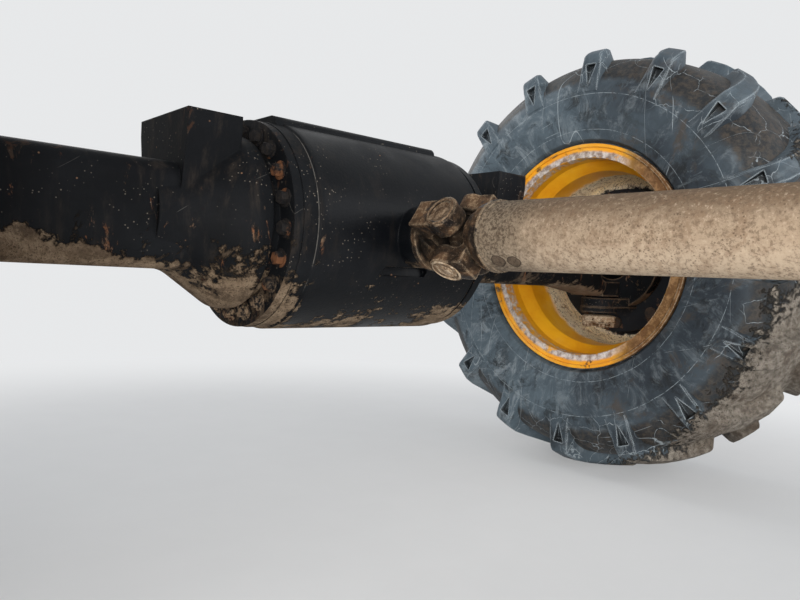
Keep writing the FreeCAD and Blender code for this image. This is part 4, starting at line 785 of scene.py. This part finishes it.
def hexagon_points(radius, height, count):
    """A hexagon with as many points as a round ring, so that both join."""
    points = []
    for i in range(count):
        angle = math.tau * i / count
        inside = (angle + math.pi / 6) % (math.pi / 3) - math.pi / 6
        reach = radius * math.cos(math.pi / 6) / math.cos(inside)
        points.append((reach * math.cos(angle), reach * math.sin(angle), height))
    return points


def bolt_head(builder, matrix, corner, height, washer=1.35, count=24):
    """Washer and chamfered hexagon head. corner is the hexagon's radius, washer a multiple of it."""
    thick = height * 0.16
    builder.stack([
        ring_points(corner * washer, 0.0, count),
        ring_points(corner * washer, thick, count),
        hexagon_points(corner, thick, count),
        hexagon_points(corner, height * 0.86, count),
        hexagon_points(corner * 0.88, height, count),
    ], matrix)


def facing_x(place, sign):
    """A frame at place whose Z points along X by sign."""
    return Matrix.Translation(place) @ Matrix.Rotation(math.radians(90.0 * sign), 4, "Y")


def bolt_circle(builder, centre_x, sign, radius, count, corner, height, start=0.0):
    """Bolt heads round the wheels' axis, each turned its own way."""
    rng = random.Random(int(abs(centre_x) * 1e4) + count)
    for number in range(count):
        angle = start + math.tau * number / count
        place = (centre_x, radius * math.cos(angle), AXLE_Z + radius * math.sin(angle))
        spin = Matrix.Rotation(rng.uniform(0, math.tau), 4, "Z")
        bolt_head(builder, facing_x(place, sign) @ spin, corner, height)


def turned_form(builder, matrix, profile, count=48):
    """Rings of the profile's rows: radius, height."""
    builder.stack([ring_points(radius, height, count) for radius, height in profile], matrix)


# Tyre: turned casing, and lugs from the sidewall over the shoulder to the middle

LUG_COUNT = 16
LUG_PHASE = math.radians(2.2)
LUG_SLANT = math.radians(-12.0)
LUG_ROOT_HALF = 0.074
# Casing half section from the bead over the belly to the crown: beside, radius
CASING = [
    (0.1400, 0.2549), (0.1640, 0.2549), (0.1647, 0.2800), (0.1660, 0.2845), (0.1760, 0.2862),
    (0.1850, 0.2900), (0.1905, 0.3020), (0.1966, 0.3280), (0.2020, 0.3667), (0.2012, 0.4055),
    (0.1940, 0.4300), (0.1790, 0.4545), (0.1420, 0.4870), (0.0806, 0.5028), (0.0104, 0.5090), (0.0, 0.5091),
]
# A lug from its foot on the sidewall to its nose by the middle. Columns: skin's place beside the
# middle, skin's radius, its share of the slant, root's place, root's radius, its share of the slant,
# half width, slot's half width, slot's depth
LUG = [
    (0.2030, 0.4035, 0.00, 0.1985, 0.4035, 0.00, 0.0298, 0.0003, 0.000),
    (0.2016, 0.4190, 0.00, 0.1960, 0.4150, 0.00, 0.0288, 0.0004, 0.000),
    (0.1997, 0.4350, 0.00, 0.1905, 0.4270, 0.00, 0.0276, 0.0044, 0.006),
    (0.1973, 0.4540, 0.00, 0.1835, 0.4400, 0.00, 0.0262, 0.0100, 0.012),
    (0.1955, 0.4690, 0.00, 0.1780, 0.4490, 0.00, 0.0251, 0.0138, 0.014),
    (0.1953, 0.4708, 0.00, 0.1770, 0.4500, 0.00, 0.0250, 0.0138, 0.000),
    (0.1934, 0.4870, 0.00, 0.1690, 0.4600, 0.00, 0.0238, 0.0100, 0.000),
    (0.1920, 0.4930, 0.00, 0.1640, 0.4640, 0.00, 0.0234, 0.0100, 0.000),
    (0.1880, 0.4980, 0.00, 0.1600, 0.4680, 0.00, 0.0232, 0.0100, 0.000),
    (0.1780, 0.5045, 0.02, 0.1560, 0.4720, 0.02, 0.0232, 0.0100, 0.000),
    (0.1498, 0.5180, 0.10, 0.1410, 0.4840, 0.10, 0.0235, 0.0100, 0.000),
    (0.1150, 0.5262, 0.24, 0.1120, 0.4930, 0.24, 0.0240, 0.0100, 0.000),
    (0.0806, 0.5323, 0.42, 0.0806, 0.4985, 0.42, 0.0246, 0.0100, 0.000),
    (0.0520, 0.5355, 0.66, 0.0480, 0.5020, 0.66, 0.0248, 0.0100, 0.000),
    (0.0300, 0.5372, 0.88, 0.0220, 0.5040, 0.92, 0.0249, 0.0100, 0.000),
    (0.0258, 0.5352, 0.92, 0.0190, 0.5040, 0.95, 0.0246, 0.0100, 0.000),
    (0.0170, 0.5150, 0.96, 0.0120, 0.5040, 0.98, 0.0270, 0.0100, 0.000),
    (0.0104, 0.5050, 1.00, 0.0080, 0.5030, 1.00, 0.0300, 0.0100, 0.000),
]
LUG_EDGE = 0.003
# Lowest and highest uneven wear of a lug's skin and of its sides
SKIN_WEAR = (-0.0007, 0.0005)
SIDE_WEAR = (-0.0008, 0.0004)
CASING_STEP = 0.007
CASING_TURNS = 240


def resampled(points, spacing):
    """A smooth curve through the points, in steps of about the spacing."""
    out = []
    padded = [points[0]] + list(points) + [points[-1]]
    for i in range(1, len(padded) - 2):
        p0, p1, p2, p3 = (Vector((*padded[i + k], 0.0)) for k in (-1, 0, 1, 2))
        steps = max(1, int((p2 - p1).length / spacing))
        for k in range(steps):
            t = k / steps
            point = 0.5 * ((2 * p1) + (p2 - p0) * t + (2 * p0 - 5 * p1 + 4 * p2 - p3) * t * t
                           + (3 * p1 - p0 - 3 * p2 + p3) * t ** 3)
            out.append((point.x, point.y))
    out.append(points[-1])
    return out


def turned_mesh(builder, section, centre_x, segments):
    """The closed section turned about the axle."""
    count = len(section)
    points = []
    faces = []
    for i in range(segments):
        angle = math.tau * i / segments
        across = math.cos(angle)
        up = math.sin(angle)
        points.extend([(centre_x + x, r * across, AXLE_Z + r * up) for x, r in section])
        here = i * count
        there = (i + 1) % segments * count
        for k in range(count):
            after = (k + 1) % count
            faces.append((here + k, there + k, there + after, here + after))
    builder.add(points, faces)


def lug_mesh(builder, centre_x, side, turn, rng):
    """One lug: cross-sections from its foot to its nose. side is 1 towards +X, -1 towards -X."""
    rows = []
    for skin_x, skin_r, skin_share, root_x, root_r, root_share, half, slot_half, slot_depth in LUG:
        wear = rng.uniform(*SKIN_WEAR)
        skin = Vector((skin_x, skin_r + wear))
        root = Vector((root_x, root_r))
        edge = skin + (root - skin).normalized() * LUG_EDGE
        slot_floor = skin - Vector((slot_depth, 0.0))
        skin_turn = turn + skin_share * LUG_SLANT
        root_turn = turn + root_share * LUG_SLANT
        columns = []
        for sign in (-1.0, 1.0):
            nick = half + rng.uniform(*SIDE_WEAR)
            columns.append([
                (root, root_turn + sign * LUG_ROOT_HALF),
                (edge, skin_turn + sign * (nick + LUG_EDGE * 0.3) / skin_r),
                (skin, skin_turn + sign * (nick - LUG_EDGE) / skin_r),
                (skin, skin_turn + sign * slot_half / skin_r),
                (slot_floor, skin_turn + sign * slot_half * 0.8 / skin_r),
            ])
        row = columns[0] + list(reversed(columns[1]))
        rows.append([(centre_x + side * place.x, place.y * math.cos(angle),
                      AXLE_Z + place.y * math.sin(angle))
                     for place, angle in row])
    width = len(rows[0])
    faces = []
    for k in range(len(rows) - 1):
        for i in range(width - 1):
            here = k * width + i
            there = here + width
            quad = (here, there, there + 1, here + 1)
            faces.append(quad if side > 0 else tuple(reversed(quad)))
    builder.add([point for row in rows for point in row], faces)


def make_tyre(side_name, casing_material, lug_material):
    rng = random.Random(len(side_name))
    sign = SIDES[side_name]
    centre_x = sign * WHEEL_X
    half = resampled(CASING, CASING_STEP)
    casing = Builder()
    turned_mesh(casing, half + [(-x, r) for x, r in reversed(half[:-1])], centre_x, CASING_TURNS)
    lugs = Builder()
    pitch = math.tau / LUG_COUNT
    for number in range(LUG_COUNT):
        lug_mesh(lugs, centre_x, -sign, LUG_PHASE + number * pitch, rng)
        lug_mesh(lugs, centre_x, sign, LUG_PHASE + (number + 0.5) * pitch, rng)
    for builder, name, material in ((casing, "tyre_casing_", casing_material),
                                    (lugs, "tyre_lugs_", lug_material)):
        piece = builder.object(name + side_name)
        dress(piece, material, "wheel_" + side_name, 32.0)
        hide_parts("tyre_" + side_name)


# Castings of the shaft. Rows: node, voxel size, rounds of smoothing, height of the lumps
CASTINGS = [
    ("pinion_yoke", 0.0014, 4, 0.0012),
    ("tube_yoke", 0.0014, 4, 0.0012),
    ("slip_yoke", 0.0016, 4, 0.0010),
    ("gearbox_flange", 0.0016, 3, 0.0006),
]
LUMPS_PER_METRE = 55.0
DEEPEST_DENT = -0.3


def make_casting(material, node, voxel, rounds, lumps):
    """A copy of a node's solid with melted edges and a lumpy crust."""
    piece = bpy.data.objects.new(node + "_cast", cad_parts[node].data.copy())
    bpy.context.collection.objects.link(piece)
    remesh = piece.modifiers.new("remesh", "REMESH")
    remesh.mode = "VOXEL"
    remesh.voxel_size = voxel
    melt = piece.modifiers.new("melt", "SMOOTH")
    melt.factor = 0.5
    melt.iterations = rounds
    depsgraph = bpy.context.evaluated_depsgraph_get()
    mesh = bpy.data.meshes.new_from_object(piece.evaluated_get(depsgraph))
    piece.modifiers.clear()
    piece.data = mesh
    normals = [vertex.normal.copy() for vertex in mesh.vertices]
    for vertex, normal in zip(mesh.vertices, normals):
        swell = noise.fractal(vertex.co * LUMPS_PER_METRE, 1.0, 2.0, 3)
        vertex.co += normal * (max(DEEPEST_DENT, swell) * lumps)
    dress(piece, material, "propeller_shaft", 60.0)
    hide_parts(node)


# Bolts and other small fasteners

# Circles of bolts: radius, number, corner radius, head's height
ARM_FLANGE = 0.016
ARM_BOLTS = (0.142, 20, 0.0105, 0.012)
ARM_BOLTS_START = math.radians(166)
HUB_BOLTS = (0.125, 12, 0.0105, 0.008)
# Outwards from the wheel's middle: disc, hub's barrel, cover's flange, cover's dome, seat of its plug
DISC_INSET = 0.042
HUB_BARREL = 0.084
COVER_FLANGE = 0.016
COVER_DOME = 0.022
PLUG_SEAT = 0.008


def make_axle_bolts(material):
    builder = Builder()
    bolt_circle(builder, -DRUM_LEFT - ARM_FLANGE, -1, *ARM_BOLTS, ARM_BOLTS_START)
    bolt_circle(builder, DRUM_RIGHT + ARM_FLANGE, 1, *ARM_BOLTS, ARM_BOLTS_START)
    dress(builder.object("arm_flange_bolts"), material, "axle")


def make_hub_bolts(material):
    """Bolts round each hub's cover and a plug in its middle."""
    face = WHEEL_X + DISC_INSET + HUB_BARREL + COVER_FLANGE
    for name, sign in SIDES.items():
        builder = Builder()
        bolt_circle(builder, sign * face, sign, *HUB_BOLTS)
        plug = facing_x((sign * (face + COVER_DOME + PLUG_SEAT), 0, AXLE_Z), sign)
        bolt_head(builder, plug, 0.015, 0.008, 1.2)
        dress(builder.object("hub_bolts_" + name), material, "wheel_" + name)


# Turned profiles. Rows: radius, height
KINGPIN_CAP = [
    (0.024, -0.010), (0.040, -0.006), (0.043, -0.003), (0.043, 0.008),
    (0.040, 0.011), (0.020, 0.012), (0.012, 0.016), (0.002, 0.0165),
]
BEARING_CAP = [
    (0.0245, -0.0020), (0.0250, 0.0004), (0.0240, 0.0016), (0.0222, 0.0018), (0.0208, 0.0004),
    (0.0195, -0.0008), (0.0100, -0.0012), (0.0085, 0.0006), (0.0015, 0.0010),
]
NIPPLE = [(0.0045, -0.002), (0.0045, 0.003), (0.0028, 0.004), (0.0028, 0.007), (0.0036, 0.009),
          (0.0018, 0.012)]
BREATHER = [
    (0.009, -0.002), (0.009, 0.006), (0.005, 0.007), (0.005, 0.013),
    (0.010, 0.014), (0.010, 0.022), (0.007, 0.025),
]
UNION = [(0.0085, 0.010), (0.0085, 0.020), (0.0105, 0.021), (0.0105, 0.033), (0.008, 0.035)]
VALVE = [
    (0.0075, -0.003), (0.0070, 0.004), (0.0045, 0.006), (0.0040, 0.024),
    (0.0052, 0.025), (0.0052, 0.033), (0.0030, 0.034),
]
# Weld beads: places along the shaft, radius, half height, half width, points round a bead, steps
WELDS = [-0.336, -0.806]
WELD_RADIUS = 0.0520
WELD_HALF_HEIGHT = 0.0022
WELD_HALF_WIDTH = 0.0030
WELD_POINTS = 10
WELD_STEPS = 160


def make_kingpin_caps(material):
    """Small bolts on the upper flanges, and a domed cap with large bolts below."""
    for name, sign in SIDES.items():
        builder = Builder()
        centre = Vector((sign * KINGPIN_X, 0.0, AXLE_Z))
        over = Matrix.Translation(centre + Vector((0, 0, KINGPIN_FLANGE)))
        under = Matrix.Translation(centre - Vector((0, 0, KINGPIN_BOSS))) @ Matrix.Rotation(math.pi, 4, "X")
        turned_form(builder, under, KINGPIN_CAP)
        for number in range(4):
            turn = Matrix.Rotation(math.tau * (number + 0.5) / 4, 4, "Z")
            bolt_head(builder, over @ turn @ Matrix.Translation((0.035, 0, 0)), 0.008, 0.008, 1.15)
            bolt_head(builder, under @ turn @ Matrix.Translation((0.029, 0, 0.011)), 0.0125, 0.013, 1.10)
        dress(builder.object("kingpin_caps_" + name), material, "knuckle_" + name)


def make_bearing_caps(material):
    """Raised rims round the bearing caps."""
    caps = Builder()
    for middle_y in JOINTS:
        for number in range(4):
            turn = Matrix.Rotation(JOINT_TURN + math.tau * number / 4, 4, "Y")
            out = turn @ Matrix.Translation((0.0, 0.0, CAP_FACE))
            turned_form(caps, Matrix.Translation((0.0, middle_y, SHAFT_Z)) @ out, BEARING_CAP, 40)
    dress(caps.object("bearing_caps"), material, "propeller_shaft", 50.0)


def make_welds(material):
    """Rippled weld beads round the tube's ends."""
    welds = Builder()
    rng = random.Random(11)
    turns = [math.tau * number / WELD_POINTS for number in range(WELD_POINTS)]
    bead = [(WELD_RADIUS + WELD_HALF_HEIGHT * math.cos(turn),
             WELD_HALF_WIDTH * math.sin(turn)) for turn in turns]
    for weld_y in WELDS:
        matrix = Matrix.Translation((0.0, weld_y, SHAFT_Z)) @ Matrix.Rotation(math.pi / 2, 4, "X")
        points = []
        faces = []
        for step in range(WELD_STEPS):
            angle = math.tau * step / WELD_STEPS
            swell = 1.0 + 0.008 * math.sin(angle * 40.0) + rng.uniform(-0.003, 0.003)
            for radius, along in bead:
                reach = radius * swell
                points.append(matrix @ Vector((reach * math.cos(angle), reach * math.sin(angle), along)))
            here = step * WELD_POINTS
            there = (step + 1) % WELD_STEPS * WELD_POINTS
            for number in range(WELD_POINTS):
                after = (number + 1) % WELD_POINTS
                faces.append((here + number, there + number, there + after, here + after))
        welds.add(points, faces)
    dress(welds.object("shaft_welds"), material, "propeller_shaft", 60.0)


def on_surface(node, start, direction):
    """A frame where a ray meets a node's skin, its Z along the skin's normal."""
    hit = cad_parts[node].ray_cast(Vector(start), Vector(direction).normalized())
    return Matrix.Translation(hit[1]) @ hit[2].to_track_quat("Z", "Y").to_matrix().to_4x4()


def make_axle_fittings(plug_material, union_material):
    """Drain and level plug, breather, and the hoses' unions on the oil ports."""
    plugs = Builder()
    drain = on_surface("centre_housing", (-0.034, 0.30, AXLE_Z - 0.30), (0, -1, 1))
    level = on_surface("centre_housing", (0.095, 0.60, AXLE_Z - 0.085), (0, -1, 0))
    for place in (drain, level):
        bolt_head(plugs, place, 0.0135, 0.011, 1.5)
    turned_form(plugs, on_surface("arm_left", (-0.62, 0, 0.3), (0, 0, -1)), BREATHER, 24)
    dress(plugs.object("axle_plugs"), plug_material, "axle")
    unions = Builder()
    for sign in SIDES.values():
        edge = on_surface("steer_cylinder", (sign * PORT_X + 0.011, PORT_Y, 0.1), (0, 0, -1))
        place = Matrix.Translation((sign * PORT_X, PORT_Y, edge.translation.z))
        bolt_head(unions, place, 0.0125, 0.011, 1.05)
        turned_form(unions, place, UNION, 24)
    dress(unions.object("oil_unions"), union_material, "axle")


def make_moving_fittings(material):
    """Grease nipples on kingpins and crosses, and the tyres' valves."""
    for name, sign in SIDES.items():
        nipple = Builder()
        turned_form(nipple, Matrix.Translation((sign * KINGPIN_X, 0, AXLE_Z + KINGPIN_BOSS)), NIPPLE, 16)
        dress(nipple.object("kingpin_nipple_" + name), material, "knuckle_" + name)
        valve = Builder()
        place = on_surface("rim_" + name, (sign * VALVE_X, 0, AXLE_Z), (0, -0.3, 1))
        turned_form(valve, place, VALVE, 20)
        dress(valve.object("valve_" + name), material, "wheel_" + name)
    nipples = Builder()
    turn = JOINT_TURN + math.radians(45.0)
    outward = Vector((math.sin(turn), 0.0, math.cos(turn)))
    for node, joint_y in zip(("cross_axle_end", "cross_gearbox_end"), JOINTS):
        start = Vector((0.0, joint_y, SHAFT_Z)) + outward * 0.1
        turned_form(nipples, on_surface(node, start, -outward), NIPPLE, 16)
    dress(nipples.object("cross_nipples"), material, "propeller_shaft")


# Finishes, and which of them each node has. The first row that the node's name starts with counts

MATERIALS = {
    "axle": axle_paint(),
    "hub": hub_paint(),
    "rim": rim_paint(),
    "disc": disc_paint(),
    "tyre": tyre_rubber("tyre_rubber", False),
    "lugs": tyre_rubber("lug_rubber", True),
    "bolts": rusty_bolts(),
    "dust": shaft_dust(),
    "joint": joint_mud(),
    "caked": caked_mud(),
    "steel": oily_steel(),
    "rod": polished_rod(),
}
NODE_FINISH = [
    ("steer_rod", "rod"), ("hub", "hub"), ("wheel_disc", "disc"), ("wheel_studs", "steel"), ("rim", "rim"),
    ("tyre", "tyre"), ("drive_joint", "steel"), ("tie_rod", "steel"), ("shaft_tube", "dust"),
    ("slip_sleeve", "dust"), ("spline_shaft", "steel"), ("pinion_yoke", "joint"), ("cross", "joint"),
    ("tube_yoke", "joint"), ("slip_yoke", "joint"), ("gearbox_flange", "joint"), ("", "axle"),
]


def paint_nodes():
    for node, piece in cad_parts.items():
        finish = next(finish for start, finish in NODE_FINISH if node.startswith(start))
        piece.data.materials.clear()
        piece.data.materials.append(MATERIALS[finish])


make_camera()
make_studio()
paint_nodes()
for wheel_side in SIDES:
    make_tyre(wheel_side, MATERIALS["tyre"], MATERIALS["lugs"])
for casting in CASTINGS:
    make_casting(MATERIALS["joint"], *casting)
make_axle_bolts(MATERIALS["bolts"])
make_hub_bolts(MATERIALS["hub"])
make_kingpin_caps(MATERIALS["caked"])
make_bearing_caps(MATERIALS["caked"])
make_welds(MATERIALS["joint"])
make_axle_fittings(MATERIALS["bolts"], MATERIALS["steel"])
make_moving_fittings(MATERIALS["steel"])
